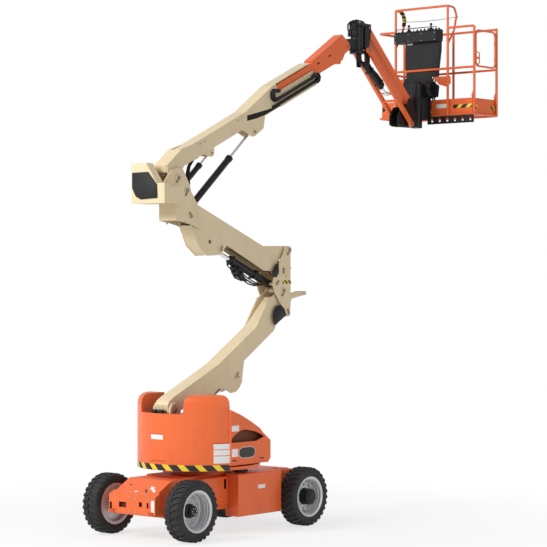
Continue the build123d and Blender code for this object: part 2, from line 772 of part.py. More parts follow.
with BuildPart() as upright_counterweight:
    with BuildSketch(Plane.YZ.offset(BOX_REAR)) as rear_wall:
        with BuildLine():
            Polyline(*BOX_SECTION, close=True)
        make_face()
    extrude(rear_wall.sketch, amount=-920 - SEAT - BOX_REAR)
    block((-925, -700), (-BOX_HALF, BOX_HALF), (3840, 4036))
    for side in (-1, 1):
        low, high = sorted((side * (UPRIGHT_IN - SEAT), side * (UPRIGHT_OUT + SEAT)))
        block((-920 - SEAT, -680), (low, high), (3800, 4340), Mode.SUBTRACT)
nodes["upright_counterweight"] = upright_counterweight

# ================================================================ main boom, in its own plane (along, up)
TUBE_HALF = 95.0
ROOT_OUTLINE = [
    (222, 270),
    (-60, 200),
    (-89, 192),
    (-101, 110),
    (-96, 0),
    (-60, -62),
    (0, -86),
    (56, -66),
    (84, -18),
    (150, 60),
    (230, 90),
    (442, 62),
    (480, 80),
    (480, 240),
]
TUBE_OUTLINE = [(214, 70), (214, 245), (1480, 245), (2090, 354), (2150, 354), (2150, 70)]
TUBE_BORE = [(430, 80), (430, 237), (1478, 237), (2088, 344), (2200, 344), (2200, 80)]
TRAY_OUTLINE = [(2140, 62), (2140, 102), (2900, 102), (2900, 62)]
NEAR_PLATE = [(2130, 62), (2130, 262), (2200, 250), (2900, 250), (2900, 62)]
FAR_PLATE = [(2130, 62), (2130, 352), (2900, 352), (2900, 62)]
BRACKET = [(1300, 76), (1348, 74), (1500, -84), (1555, -92), (1610, -84), (1734, -66), (1835, 76)]
LEVEL_BRACKET = [(530, 76), (830, 76), (800, 0), (765, -34), (735, -34), (690, -10), (600, 52)]

with BuildPart() as main_boom:
    slab(TUBE_OUTLINE, -TUBE_HALF, TUBE_HALF, MAIN)
    side_plates(ROOT_OUTLINE, BOOM_SIDE_IN, BOOM_SIDE_OUT + 5, MAIN)
    slab([(222, 270), (222, 258), (-60, 188), (-60, 200)], -BOOM_SIDE_IN - 4, BOOM_SIDE_IN + 4, MAIN)
    slab([(-60, 200), (-60, 188), (-80, 184), (-94, 112), (-104, 112), (-90, 193)],
         -BOOM_SIDE_IN - 4, BOOM_SIDE_IN + 4, MAIN)
    slab(TRAY_OUTLINE, -TUBE_HALF, TUBE_HALF, MAIN)
    slab(NEAR_PLATE, BOOM_SIDE_IN, TUBE_HALF, MAIN)
    slab(FAR_PLATE, -TUBE_HALF, -BOOM_SIDE_IN, MAIN)
    slab([(2140, 342), (2140, 354), (2900, 354), (2900, 342)], -TUBE_HALF, TUBE_HALF - 20, MAIN)
    slab(TUBE_BORE, -BOOM_SIDE_IN, BOOM_SIDE_IN, MAIN, Mode.SUBTRACT)
    side_plates(BRACKET, 58, 72, MAIN)
    slab([(2760, 98), (2760, 160 - SEAT), (2880, 160 - SEAT), (2880, 98)], -60, 60, MAIN)
    side_plates(LEVEL_BRACKET, 35, 47, MAIN)
    side_bosses(BOOM_FOOT, 62, BOOM_SIDE_IN, BOOM_BOSS_OUT)
    side_bosses(BOOM_CYL_ROD, LINK_PIN_R, 50, 84)
    side_bosses(BOOM_CYL_ROD, 38, 71, 80)
    side_bosses(LEVEL_CYL_ROD, 14, 33, 54)
    cross_pin(BOOM_FOOT, PIN_R + FIT, UPRIGHT_IN, Mode.SUBTRACT)
nodes["main_boom"] = main_boom

CARRIER_IN = TUBE_HALF + SEAT

with BuildPart() as cable_carrier:
    with BuildSketch(MAIN.offset(CARRIER_IN)) as carrier:
        with BuildLine():
            Line((1960, 105), (2885, 105))
            Line((2885, 130), (1960, 130))
            Line((1960, 105), (1960, 130))
            Line((2885, 105), (2885, 130))
        make_face()
        with BuildLine():
            Line((2060, 166), (2885, 166))
            Line((2885, 191), (2060, 191))
            Line((2060, 166), (2060, 191))
            Line((2885, 166), (2885, 191))
        make_face()
        with Locations((2885, 148)):
            Circle(43)
            Circle(18, mode=Mode.SUBTRACT)
        with Locations((2862, 148)):
            Rectangle(46, 36, mode=Mode.SUBTRACT)
    extrude(carrier.sketch, amount=48)
nodes["cable_carrier"] = cable_carrier

# ---------------------------------------------------------------- fly section
FLY_HALF = 70.0
FLY_BODY = [
    (2130, 160), (2130, 327), (2975, 327), (2975, 353), (3560, 432),
    (3690, 450), (3640, 300), (3500, 118), (3400, 160),
]
FLY_TAIL = [(1450, 165), (1450, 230), (2140, 230), (2140, 165)]
FLY_FORK = [
    (3540, 150), (3540, 428), (3690, 450), (3776, 310),
    (3776, 240), (3740, 220), (3640, 205), (3560, 150),
]
FLY_NOSE_SLOT = [(3545, 60), (3545, 330), (3600, 400), (3600, 330), (3900, 330), (3900, 60)]
FLY_SLOT_HALF = 52.0
FLY_FORK_IN = 54.0

with BuildPart() as fly_boom:
    slab(FLY_BODY, -FLY_HALF, FLY_HALF, MAIN)
    slab(FLY_TAIL, -FLY_HALF + 8, FLY_HALF - 8, MAIN)
    slab(FLY_NOSE_SLOT, -FLY_SLOT_HALF, FLY_SLOT_HALF, MAIN, Mode.SUBTRACT)
    side_plates(FLY_FORK, FLY_FORK_IN, FLY_HALF, MAIN)
    side_bosses(JIB_FOOT, 46, FLY_FORK_IN, FLY_HALF)
    cross_pin(JIB_FOOT, JIB_PIN_R, FLY_HALF + 12)
nodes["fly_boom"] = fly_boom

# ================================================================ jib
with BuildPart() as jib_base:
    slab(
        [(2578, 5935), (2578, 5965), (2600, 5992), (2640, 5996), (2700, 6060), (2830, 6060), (2830, 5930),
         (2700, 5905), (2640, 5905), (2600, 5908)],
        -48, 48,
    )
    upright_disc(ROTATOR_X, 0, 84, 5930, 6230)
    upright_disc(ROTATOR_X, 0, 30, 5886, 6274)
    cross_pin(JIB_FOOT, JIB_PIN_R + FIT, 60, Mode.SUBTRACT)
nodes["jib_base"] = jib_base

HEAD_PLATE = [
    (2976, 5880),
    (2990, 5722),
    (3062, 5722),
    (3085, 5800),
    (3070, 6000),
    (3110, 6190),
    (3108, 6278),
    (2976, 6278),
]

with BuildPart() as jib_head:
    for low, high in ((5884, 5924), (6236, 6278)):
        upright_disc(ROTATOR_X, 0, 96, low, high)
        block((ROTATOR_X, 3008), (-75, 75), (low, high))
    side_plates(HEAD_PLATE, 60, 75)
    cross_pin(JIB_UPPER, JIB_PIN_R, 84)
    side_bosses(JIB_LOWER, JIB_PIN_R, 70, 150)
    side_bosses(JIB_LOWER, 34, 74, 96)
    cross_pin(JIB_CYL_BASE, JIB_PIN_R, 84)
    upright_disc(ROTATOR_X, 0, 30 + FIT, 5880, 6280, Mode.SUBTRACT)
nodes["jib_head"] = jib_head

with BuildPart() as jib_lower_link:
    side_plates(bar(JIB_LOWER, JIB_LOWER_END, JIB_LINK_HALF), *JIB_LINK_Y)
    for end in (JIB_LOWER, JIB_LOWER_END):
        side_bosses(end, 36, 98, 142)
    side_bosses(JIB_CYL_ROD, JIB_PIN_R, 60, 142)
    cross_pin(mid_point(JIB_LOWER, JIB_LOWER_END, 0.68), 18, 142)
    for end in (JIB_LOWER, JIB_LOWER_END):
        side_bosses(end, JIB_PIN_R + FIT, 90, 150, Mode.SUBTRACT)
nodes["jib_lower_link"] = jib_lower_link

with BuildPart() as jib_upper_link:
    slab(bar(JIB_UPPER, JIB_UPPER_END, JIB_UPPER_HALF, -22), -JIB_UPPER_Y, JIB_UPPER_Y)
    for end in (JIB_UPPER, JIB_UPPER_END):
        cross_pin(end, 36, 52)
    for end in (JIB_UPPER, JIB_UPPER_END):
        cross_pin(end, JIB_PIN_R + FIT, 60, Mode.SUBTRACT)
nodes["jib_upper_link"] = jib_upper_link

SUPPORT_PLATE = [
    (3700, 5010),
    (3700, 5120),
    (3790, 5250),
    (3900, 5262),
    (3950, 5360),
    (3985, 5378),
    (4035, 5370),
    (4060, 5300),
    (4150, 5240),
    (4150, 4995),
    (3760, 4990),
]

with BuildPart() as platform_support:
    side_plates(SUPPORT_PLATE, 58, 74)
    block((4062, 4150), (-70, 70), (5000, 5236))
    upright_disc(COLUMN_X, 0, 75, 4992, 5400)
    side_bosses(JIB_LOWER_END, JIB_PIN_R, 70, 150)
    side_bosses(JIB_LOWER_END, 34, 73, 96)
    cross_pin(JIB_UPPER_END, JIB_PIN_R, 84)
    upright_disc(COLUMN_X, 0, 30 + FIT, 5200, 5410, Mode.SUBTRACT)
nodes["platform_support"] = platform_support

# ================================================================ platform
DECK_X = (4430.0, 5030.0)
DECK_HALF = 770.0
TUBE_R = 16.0
POST_R = 17.5
BASE_Z = 5165.0
MID_Z = 5790.0
RAIL_Z = 6335.0
HOOP_Z = 6634.0

BRACKET_FACE = DECK_X[0] - TUBE_R - SEAT
FOOT_BAR_Z = (BASE_Z - TUBE_R - 102, BASE_Z - TUBE_R - 2)

with BuildPart() as platform_bracket:
    upright_disc(COLUMN_X, 0, 75, 5403, 5590)
    upright_disc(COLUMN_X, 0, 30, 5220, 5410)
    side_plates([(4220, 5420), (4220, 5590), (4410, 5590), (4410, 5420)], 40, 56)
    # mounting plate, wide above the toe boards and narrow below them
    with BuildSketch(Plane.YZ.offset(4398)) as mount_plate:
        with BuildLine():
            Polyline(
                (-100, 5110), (-100, 5395), (-222, 5414), (-240, 5560), (-130, 5640), (-118, 5690),
                (330, 5690), (380, 5560), (222, 5414), (100, 5395), (100, 5110), close=True,
            )
        make_face()
    extrude(mount_plate.sketch, amount=BRACKET_FACE - 4398)
    side_plates([(4398, 5430), (4398, 5640), (4330, 5590), (4290, 5500)], 56, 150)
    # foot bar under the near half of the floor, with its row of holes
    block((4386, 4412), (-800, -60), FOOT_BAR_Z)
    for step in range(6):
        with BuildSketch(Plane.YZ.offset(4380)) as bar_hole:
            with Locations((-752 + step * 124, sum(FOOT_BAR_Z) / 2)):
                Circle(26)
        extrude(bar_hole.sketch, amount=40, mode=Mode.SUBTRACT)
nodes["platform_bracket"] = platform_bracket

FRONT_POSTS = (-364.0, 502.0)
GATE_X = (4500.0, 4962.0)
GATE_LOW = 5805.0
GATE_HIGH = 6285.0
GATE_TUBE_R = 13.0
GATE_HINGES = (5900.0, 6120.0)
CORNER_CUT = 34.0
REAR_CUT = DECK_X[0] + 56
FRONT_CUT = DECK_X[1] - 94

# the rails turn the fourth corner without a post
CORNER_POSTS = [
    (DECK_X[0] + CORNER_CUT, -DECK_HALF),
    (DECK_X[1] - CORNER_CUT, -DECK_HALF),
    (DECK_X[1] - CORNER_CUT, DECK_HALF),
]
GATE_SIDE = [
    (DECK_X[0] + CORNER_CUT, -DECK_HALF),
    (DECK_X[0], -DECK_HALF + CORNER_CUT),
]
OPEN_SIDE = [
    (DECK_X[0], DECK_HALF),
    (DECK_X[1], DECK_HALF),
    (DECK_X[1], -DECK_HALF + CORNER_CUT),
    (DECK_X[1] - CORNER_CUT, -DECK_HALF),
]
LOOPS = [
    (BASE_Z, GATE_SIDE + OPEN_SIDE, True),
    (MID_Z, GATE_SIDE + OPEN_SIDE, False),
    (RAIL_Z, GATE_SIDE + [(DECK_X[0], FRONT_POSTS[0])], False),
    (RAIL_Z, [(DECK_X[0], FRONT_POSTS[1])] + OPEN_SIDE, False),
]
# how far the bow stands forward of the hoop post, and its height
BOW = [(0, HOOP_Z), (150, HOOP_Z - 6), (205, HOOP_Z - 110), (150, 6320), (0, 6120)]
WING = [(-120, 5690), (-405, 5687), (-413, 5591), (-345, 5545), (-225, 5580)]

with BuildPart() as whole_frame:
    for height, corners, closed in LOOPS:
        with BuildLine() as loop:
            FilletPolyline(*[(x, y, height) for x, y in corners], radius=24, close=closed)
        with BuildSketch(Plane(origin=loop.wire() @ 0, z_dir=loop.wire() % 0)) as tube:
            Circle(TUBE_R)
        sweep(tube.sketch, path=loop.wire())
    for x, y in CORNER_POSTS:
        upright_disc(x, y, POST_R, BASE_Z, RAIL_Z)
    upright_disc(DECK_X[1], -40, POST_R, BASE_Z, RAIL_Z)
    for y in FRONT_POSTS:
        upright_disc(DECK_X[0], y, POST_R, BASE_Z, RAIL_Z + 10)
    for height in GATE_HINGES:
        block((GATE_X[1], DECK_X[1] - CORNER_CUT), (-DECK_HALF - 8, -DECK_HALF + 8), (height, height + 30))
        upright_disc(GATE_X[1], -DECK_HALF, 20, height, height + 30)
        upright_disc(GATE_X[1], -DECK_HALF, GATE_TUBE_R + FIT, height - 5, height + 35, Mode.SUBTRACT)
    with BuildLine() as hoop:
        FilletPolyline(
            (DECK_X[0], FRONT_POSTS[0], RAIL_Z),
            (DECK_X[0], FRONT_POSTS[0], HOOP_Z),
            (DECK_X[0], FRONT_POSTS[1], HOOP_Z),
            (DECK_X[0], FRONT_POSTS[1], RAIL_Z),
            radius=24,
        )
    with BuildSketch(Plane(origin=hoop.wire() @ 0, z_dir=hoop.wire() % 0)) as hoop_tube:
        Circle(TUBE_R)
    sweep(hoop_tube.sketch, path=hoop.wire())
    # bowed stays behind the hoop's posts
    for y in FRONT_POSTS:
        with BuildLine() as bow:
            FilletPolyline(*[(DECK_X[0] + reach, y, height) for reach, height in BOW], radius=70)
        with BuildSketch(Plane(origin=bow.wire() @ 0, z_dir=bow.wire() % 0)) as bow_tube:
            Circle(TUBE_R - 2)
        sweep(bow_tube.sketch, path=bow.wire())
    # gusset wings beside the mounting plate
    for mirrored in (False, True):
        with BuildSketch(Plane.YZ.offset(DECK_X[0] - 5)) as wing:
            with BuildLine():
                Polyline(*[(sum(FRONT_POSTS) - y if mirrored else y, z) for y, z in WING], close=True)
            make_face()
        extrude(wing.sketch, amount=10)

rear_side = Plane(origin=(REAR_CUT, 0, 0), z_dir=(1, 0, 0))
front_side = Plane(origin=(FRONT_CUT, 0, 0), z_dir=(1, 0, 0))
rear_frame = split(whole_frame.part, bisect_by=rear_side, keep=Keep.BOTTOM)
forward_part = split(whole_frame.part, bisect_by=rear_side, keep=Keep.TOP)
nodes["platform_rear_frame"] = rear_frame
nodes["platform_side_rails"] = split(forward_part, bisect_by=front_side, keep=Keep.BOTTOM)
nodes["platform_front_frame"] = split(forward_part, bisect_by=front_side, keep=Keep.TOP)

TOE_TOP = 5380.0
TOE_T = 6.0
FLOOR_LOW = BASE_Z + TUBE_R + 1
FLOOR_INSET = TUBE_R + 2
FLOOR_X = (DECK_X[0] + FLOOR_INSET, DECK_X[1] - FLOOR_INSET)
FLOOR_HALF = DECK_HALF - FLOOR_INSET

with BuildPart() as platform_floor:
    block(
        (FLOOR_X[0] + 2, FLOOR_X[1] - 2), (-FLOOR_HALF + 2, FLOOR_HALF - 2), (FLOOR_LOW, FLOOR_LOW + 14)
    )
    block((FLOOR_X[1] - TOE_T, FLOOR_X[1]), (-FLOOR_HALF + 2, FLOOR_HALF - 2), (FLOOR_LOW, TOE_TOP))
    block(
        (FLOOR_X[0], FLOOR_X[0] + TOE_T), (-FLOOR_HALF + 2, FLOOR_HALF - 2), (FLOOR_LOW, FLOOR_LOW + 23)
    )
    # toe boards: two on the machine side with a gap between them, one along each side
    for side in (-1, 1):
        with BuildSketch(Plane.YZ.offset(FLOOR_X[0])) as toe:
            with BuildLine():
                Polyline(
                    (side * 104, FLOOR_LOW),
                    (side * 20, TOE_TOP),
                    (side * (FLOOR_HALF - 2), TOE_TOP),
                    (side * (FLOOR_HALF - 2), FLOOR_LOW),
                    close=True,
                )
            make_face()
        extrude(toe.sketch, amount=TOE_T)
    for low in (FLOOR_HALF - TOE_T, -FLOOR_HALF):
        block(FLOOR_X, (low, low + TOE_T), (FLOOR_LOW, TOE_TOP))
nodes["platform_floor"] = platform_floor

CONSOLE_Y = (-212.0, FRONT_POSTS[1] - POST_R - SEAT)

# housing as (x, z), taper below it as (y, z)
HOUSING = [
    (4366, 6172), (4366, 6300), (4384, 6322), (4520, 6337),
    (4534, 6328), (4536, 6230), (4524, 6172),
]
TAPER = [
    (-160, 5697), (-168, 5775), (-192, 5960), (-206, 6060),
    (-208, 6176), (343, 6176), (355, 5918), (335, 5697),
]
TAPER_X = (DECK_X[0] + TUBE_R + SEAT, 4516.0)

with BuildPart() as platform_console:
    with BuildSketch(Plane.XZ.offset(-CONSOLE_Y[1])) as housing:
        with BuildLine():
            Polyline(*HOUSING, close=True)
        make_face()
    extrude(housing.sketch, amount=CONSOLE_Y[1] - CONSOLE_Y[0])
    with BuildSketch(Plane.YZ.offset(TAPER_X[0])) as taper:
        with BuildLine():
            Polyline(*TAPER, close=True)
        make_face()
    extrude(taper.sketch, amount=TAPER_X[1] - TAPER_X[0])
nodes["platform_console"] = platform_console

with BuildPart() as platform_gate:
    with BuildLine() as gate_path:
        FilletPolyline(
            (GATE_X[1], -DECK_HALF, GATE_LOW),
            (GATE_X[1], -DECK_HALF, GATE_HIGH),
            (GATE_X[0], -DECK_HALF, GATE_HIGH),
            (GATE_X[0], -DECK_HALF, GATE_LOW),
            radius=70,
            close=True,
        )
    with BuildSketch(Plane(origin=gate_path.wire() @ 0, z_dir=gate_path.wire() % 0)) as gate_tube:
        Circle(GATE_TUBE_R)
    sweep(gate_tube.sketch, path=gate_path.wire())
nodes["platform_gate"] = platform_gate

# ================================================================ cylinders
# name: base pin, rod pin, barrel and rod radius, half width of the eyes, barrel length,
# neck, base pin radius, rod pin radius and half length
CYLINDERS = {
    "lower_lift": (LOWER_CYL_BASE, LOWER_CYL_ROD, 45, 24, 28, 800, 36, LINK_PIN_R, LINK_PIN_R, 58),
    "mid_lift": (MID_CYL_BASE, MID_CYL_ROD, 46, 24, 28, 780, 36, LINK_PIN_R, LINK_PIN_R, 58),
    "main_lift": (BOOM_CYL_BASE, BOOM_CYL_ROD, 40, 17, 26, 1110, 82, LINK_PIN_R, LINK_PIN_R, 43),
    "level": (MID_HEAD, LEVEL_CYL_ROD, 33, 13, 24, 490, 44, PIN_R, 14, 27),
    "jib_lift": (JIB_CYL_BASE, JIB_CYL_ROD, 32, 14, 24, 490, 32, JIB_PIN_R, JIB_PIN_R, 52),
}
GLAND_LENGTH = 40.0
GLAND_STEP = 5.0
BORE_FLOOR = 120.0  # where the rod's bore starts, from the base pin
ROD_FLOOR = 140.0  # the rod's inner end when the barrel is full length, from the base pin

for name, sizes in CYLINDERS.items():
    base, tip, barrel_r, rod_r, eye_half, barrel_length = sizes[:6]
    neck, base_pin_r, rod_pin_r, eye_pin_half = sizes[6:]
    length = math.hypot(tip[0] - base[0], tip[1] - base[1])
    direction = ((tip[0] - base[0]) / length, 0, (tip[1] - base[1]) / length)
    base_plane = Plane(origin=(base[0], 0, base[1]), x_dir=(0, 1, 0), z_dir=direction)
    eye_r = barrel_r - 2
    rod_eye_r = rod_pin_r + 12
    with BuildPart() as barrel:
        with BuildSketch(base_plane.offset(base_pin_r + 6)) as stem:
            Circle(eye_half)
        extrude(stem.sketch, amount=neck)
        with BuildSketch(base_plane.offset(neck)) as tube:
            Circle(barrel_r)
        extrude(tube.sketch, amount=barrel_length - neck)
        with BuildSketch(base_plane.offset(barrel_length - GLAND_LENGTH)) as gland:
            Circle(barrel_r + GLAND_STEP)
        extrude(gland.sketch, amount=GLAND_LENGTH)
        with BuildSketch(Plane.XZ.offset(-eye_half)) as eye:
            with Locations(base):
                Circle(max(eye_r, base_pin_r + 10))
        extrude(eye.sketch, amount=2 * eye_half)
        cross_pin(base, base_pin_r + FIT, barrel_r + 20, Mode.SUBTRACT)
        with BuildSketch(base_plane.offset(BORE_FLOOR)) as bore:
            Circle(rod_r + FIT)
        extrude(bore.sketch, amount=barrel_length, mode=Mode.SUBTRACT)
    nodes[f"{name}_barrel"] = barrel
    with BuildPart() as rod:
        with BuildSketch(base_plane.offset(length - barrel_length + ROD_FLOOR)) as shaft:
            Circle(rod_r)
        extrude(shaft.sketch, amount=barrel_length - ROD_FLOOR - rod_pin_r)
        with BuildSketch(Plane.XZ.offset(-eye_half)) as rod_eye:
            with Locations(tip):
                Circle(rod_eye_r)
        extrude(rod_eye.sketch, amount=2 * eye_half)
        cross_pin(tip, rod_pin_r, eye_pin_half)
    nodes[f"{name}_rod"] = rod

# ================================================================ export
os.makedirs("parts", exist_ok=True)
for name, node in nodes.items():
    solid = node.part if isinstance(node, BuildPart) else node
    solid.label = name
    export_step(solid, f"parts/{name}.step")
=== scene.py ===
"""Looks of the articulating boom lift, dressed round its CAD frame.

Sizes are metres in the frame's own axes: +X toward the drive axle and platform, +Z up, ground at zero.
"""

import json
import logging
import math
from dataclasses import dataclass
from enum import Enum
from typing import Callable, Sequence

import bpy
from mathutils import Matrix, Vector

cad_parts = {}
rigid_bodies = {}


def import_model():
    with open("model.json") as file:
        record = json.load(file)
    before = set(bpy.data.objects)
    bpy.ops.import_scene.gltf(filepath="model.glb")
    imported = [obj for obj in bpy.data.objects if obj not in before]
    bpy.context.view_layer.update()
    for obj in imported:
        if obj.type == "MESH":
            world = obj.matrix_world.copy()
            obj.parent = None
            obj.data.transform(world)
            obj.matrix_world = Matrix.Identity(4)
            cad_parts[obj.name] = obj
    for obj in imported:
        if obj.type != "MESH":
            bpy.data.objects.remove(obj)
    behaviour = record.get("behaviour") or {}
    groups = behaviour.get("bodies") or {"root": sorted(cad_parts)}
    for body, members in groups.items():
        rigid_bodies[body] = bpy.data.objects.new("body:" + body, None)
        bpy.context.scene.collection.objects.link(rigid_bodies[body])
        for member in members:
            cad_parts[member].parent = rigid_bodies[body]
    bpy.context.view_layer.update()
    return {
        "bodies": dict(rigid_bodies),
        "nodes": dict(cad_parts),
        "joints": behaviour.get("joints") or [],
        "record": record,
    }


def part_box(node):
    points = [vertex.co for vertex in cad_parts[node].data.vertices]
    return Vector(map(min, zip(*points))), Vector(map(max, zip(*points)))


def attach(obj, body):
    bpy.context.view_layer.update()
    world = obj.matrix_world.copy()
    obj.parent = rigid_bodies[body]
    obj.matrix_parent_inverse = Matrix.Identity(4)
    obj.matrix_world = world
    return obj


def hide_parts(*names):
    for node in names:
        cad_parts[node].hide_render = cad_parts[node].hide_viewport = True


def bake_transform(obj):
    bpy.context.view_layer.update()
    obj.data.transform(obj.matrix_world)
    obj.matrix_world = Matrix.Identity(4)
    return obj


LOG = logging.getLogger("boom_lift")
Point = tuple[float, float, float]
Corner = tuple[float, float]
Colour = tuple[float, float, float]
FaceTest = Callable[[Vector, Vector], bool]

AXLE_X = 1.005  # from the middle of the machine to either axle
AXLE_Z = 0.354
SWING_X = -0.12  # the turntable's axis
HOOD_RADIUS = 0.75
FILM = 0.0012  # how far a label or a stripe stands off its face
TURN = 2 * math.pi


class Side(Enum):
    """The two sides of the machine, by the sign of Y."""

    NEAR = -1.0
    FAR = 1.0


class Across(Enum):
    """The axis a flat outline is pulled along."""

    X = "x"
    Y = "y"
    Z = "z"


# ---------------------------------------------------------------- shader graph


@dataclass
class Graph:
    """A small wrapper that adds and joins shader nodes in one material."""

    name: str

    def __post_init__(self) -> None:
        """Makes an empty material with its output and a surface shader."""
        self.material = bpy.data.materials.new(self.name)
        self.material.use_nodes = True
        self.tree = self.material.node_tree
        self.tree.nodes.clear()
        self.output = self.tree.nodes.new("ShaderNodeOutputMaterial")
        self.shader = self.tree.nodes.new("ShaderNodeBsdfPrincipled")
        self.tree.links.new(self.shader.outputs["BSDF"], self.output.inputs["Surface"])
        self.place = self.tree.nodes.new("ShaderNodeTexCoord").outputs["Object"]

    def set(self, **values: float | Colour) -> None:
        """Sets uniform values on the surface shader's own sockets.

        Args:
            values: by socket name, with underscores for its spaces.
        """
        for name, value in values.items():
            socket = self.shader.inputs[name.replace("_", " ")]
            socket.default_value = (*value, 1.0) if isinstance(value, tuple) else value

    def link(self, source: bpy.types.NodeSocket, target: bpy.types.NodeSocket) -> None:
        """Joins two sockets."""
        self.tree.links.new(source, target)

    def noise(self, scale: float, detail: float = 4.0, roughness: float = 0.5,
              vector: bpy.types.NodeSocket | None = None) -> bpy.types.NodeSocket:
        """A noise pattern on the object's own coordinates.

        Args:
            scale: features per metre.
            detail: octaves of finer noise.
            roughness: strength of the finer octaves.
            vector: coordinates to read instead of the object's own.

        Returns:
            The noise factor socket.
        """
        node = self.tree.nodes.new("ShaderNodeTexNoise")
        node.inputs["Scale"].default_value = scale
        node.inputs["Detail"].default_value = detail
        node.inputs["Roughness"].default_value = roughness
        self.link(vector or self.place, node.inputs["Vector"])
        return node.outputs["Fac"]

    def stretch(self, scale: Point) -> bpy.types.NodeSocket:
        """Scales the object's coordinates.

        Args:
            scale: the factor along each axis.

        Returns:
            The scaled coordinates' socket.
        """
        node = self.tree.nodes.new("ShaderNodeMapping")
        node.inputs["Scale"].default_value = scale
        self.link(self.place, node.inputs["Vector"])
        return node.outputs["Vector"]

    def ramp(self, source: bpy.types.NodeSocket, low: float, high: float,
             from_value: float = 0.0, to_value: float = 1.0) -> bpy.types.NodeSocket:
        """Maps a value from one span to another, clamped.

        Args:
            source: the value.
            low: where its span starts.
            high: where its span ends.
            from_value: the result at low.
            to_value: the result at high.

        Returns:
            The result's socket.
        """
        node = self.tree.nodes.new("ShaderNodeMapRange")
        node.inputs["From Min"].default_value = low
        node.inputs["From Max"].default_value = high
        node.inputs["To Min"].default_value = from_value
        node.inputs["To Max"].default_value = to_value
        self.link(source, node.inputs["Value"])
        return node.outputs["Result"]

    def math(self, operation: str, a: bpy.types.NodeSocket | float,
             b: bpy.types.NodeSocket | float = 0.0) -> bpy.types.NodeSocket:
        """One arithmetic step.

        Args:
            operation: the math node's own name for the step.
            a: the first socket or number.
            b: the second.

        Returns:
            The result's socket.
        """
        node = self.tree.nodes.new("ShaderNodeMath")
        node.operation = operation
        for index, value in enumerate((a, b)):
            if isinstance(value, (int, float)):
                node.inputs[index].default_value = value
            else:
                self.link(value, node.inputs[index])
        return node.outputs[0]

    def mix(self, factor: bpy.types.NodeSocket, a: Colour | bpy.types.NodeSocket,
            b: Colour | bpy.types.NodeSocket) -> bpy.types.NodeSocket:
        """Mixes two colours.

        Args:
            factor: 0 gives a, 1 gives b.
            a: the first colour, or its socket.
            b: the second.

        Returns:
            The mixed colour's socket.
        """
        node = self.tree.nodes.new("ShaderNodeMix")
        node.data_type = "RGBA"
        self.link(factor, node.inputs["Factor"])
        for name, value in (("A", a), ("B", b)):
            socket = [s for s in node.inputs if s.name == name and s.type == "RGBA"][0]
            if isinstance(value, tuple):
                socket.default_value = (*value, 1.0)
            else:
                self.link(value, socket)
        return [s for s in node.outputs if s.type == "RGBA"][0]

    def split(self, vector: bpy.types.NodeSocket | None = None) -> list[bpy.types.NodeSocket]:
        """Takes coordinates apart.

        Args:
            vector: what to take apart instead of the object's own coordinates.

        Returns:
            The sockets of X, Y and Z.
        """
        node = self.tree.nodes.new("ShaderNodeSeparateXYZ")
        self.link(vector or self.place, node.inputs["Vector"])
        return [node.outputs[axis] for axis in "XYZ"]

    def upward(self) -> bpy.types.NodeSocket:
        """How far the surface faces up, from -1 to 1."""
        geometry = self.tree.nodes.new("ShaderNodeNewGeometry")
        return self.split(geometry.outputs["Normal"])[2]

    def bump(self, height: bpy.types.NodeSocket, strength: float, distance: float,
             round_edges: float = 0.0) -> None:
        """Adds surface relief.

        Args:
            height: the relief's pattern.
            strength: how strongly it shows.
            distance: how deep it is.
            round_edges: radius that edges are shaded with, or 0 for sharp ones.
        """
        node = self.tree.nodes.new("ShaderNodeBump")
        node.inputs["Strength"].default_value = strength
        node.inputs["Distance"].default_value = distance
        self.link(height, node.inputs["Height"])
        if round_edges:
            bevel = self.tree.nodes.new("ShaderNodeBevel")
            bevel.samples = 4
            bevel.inputs["Radius"].default_value = round_edges
            self.link(bevel.outputs["Normal"], node.inputs["Normal"])
        self.link(node.outputs["Normal"], self.shader.inputs["Normal"])


# ---------------------------------------------------------------- finishes


@dataclass(frozen=True)
class Paint:
    """Sprayed enamel on steel, with faint orange peel, dust and rubbed patches."""

    name: str
    colour: Colour
    shade: Colour
    roughness: float = 0.34
    peel: float = 0.05
    edge: float = 0.003
    coat: float = 0.35
    gloss: float = 0.35
    dust: Colour = (0.55, 0.5, 0.42)

    def build(self) -> bpy.types.Material:
        """Makes the material.

        Returns:
            The new material.
        """
        graph = Graph(self.name)
        patches = graph.ramp(graph.noise(1.7, 3.0), 0.35, 0.7)
        runs = graph.noise(9.0, 5.0, 0.6, graph.stretch((1.0, 1.0, 0.25)))
        streaks = graph.ramp(runs, 0.5, 0.75, 0.0, 0.35)
        body = graph.mix(patches, self.colour, tuple(0.93 * c for c in self.colour))
        worn = graph.mix(streaks, body, self.shade)
        dust_spots = graph.ramp(graph.noise(38.0, 6.0, 0.7), 0.56, 0.78, 0.0, 0.4)
        settled = graph.math("MULTIPLY", dust_spots, graph.ramp(graph.upward(), 0.2, 1.0))
        graph.link(graph.mix(settled, worn, self.dust), graph.shader.inputs["Base Color"])
        uneven = graph.ramp(graph.noise(14.0, 5.0), 0.3, 0.75, self.roughness - 0.06, self.roughness + 0.14)
        graph.link(uneven, graph.shader.inputs["Roughness"])
        graph.set(Coat_Weight=self.coat, Coat_Roughness=0.18, Specular_IOR_Level=self.gloss)
        graph.bump(graph.noise(420.0, 2.0), self.peel, 0.0006, self.edge)
        return graph.material


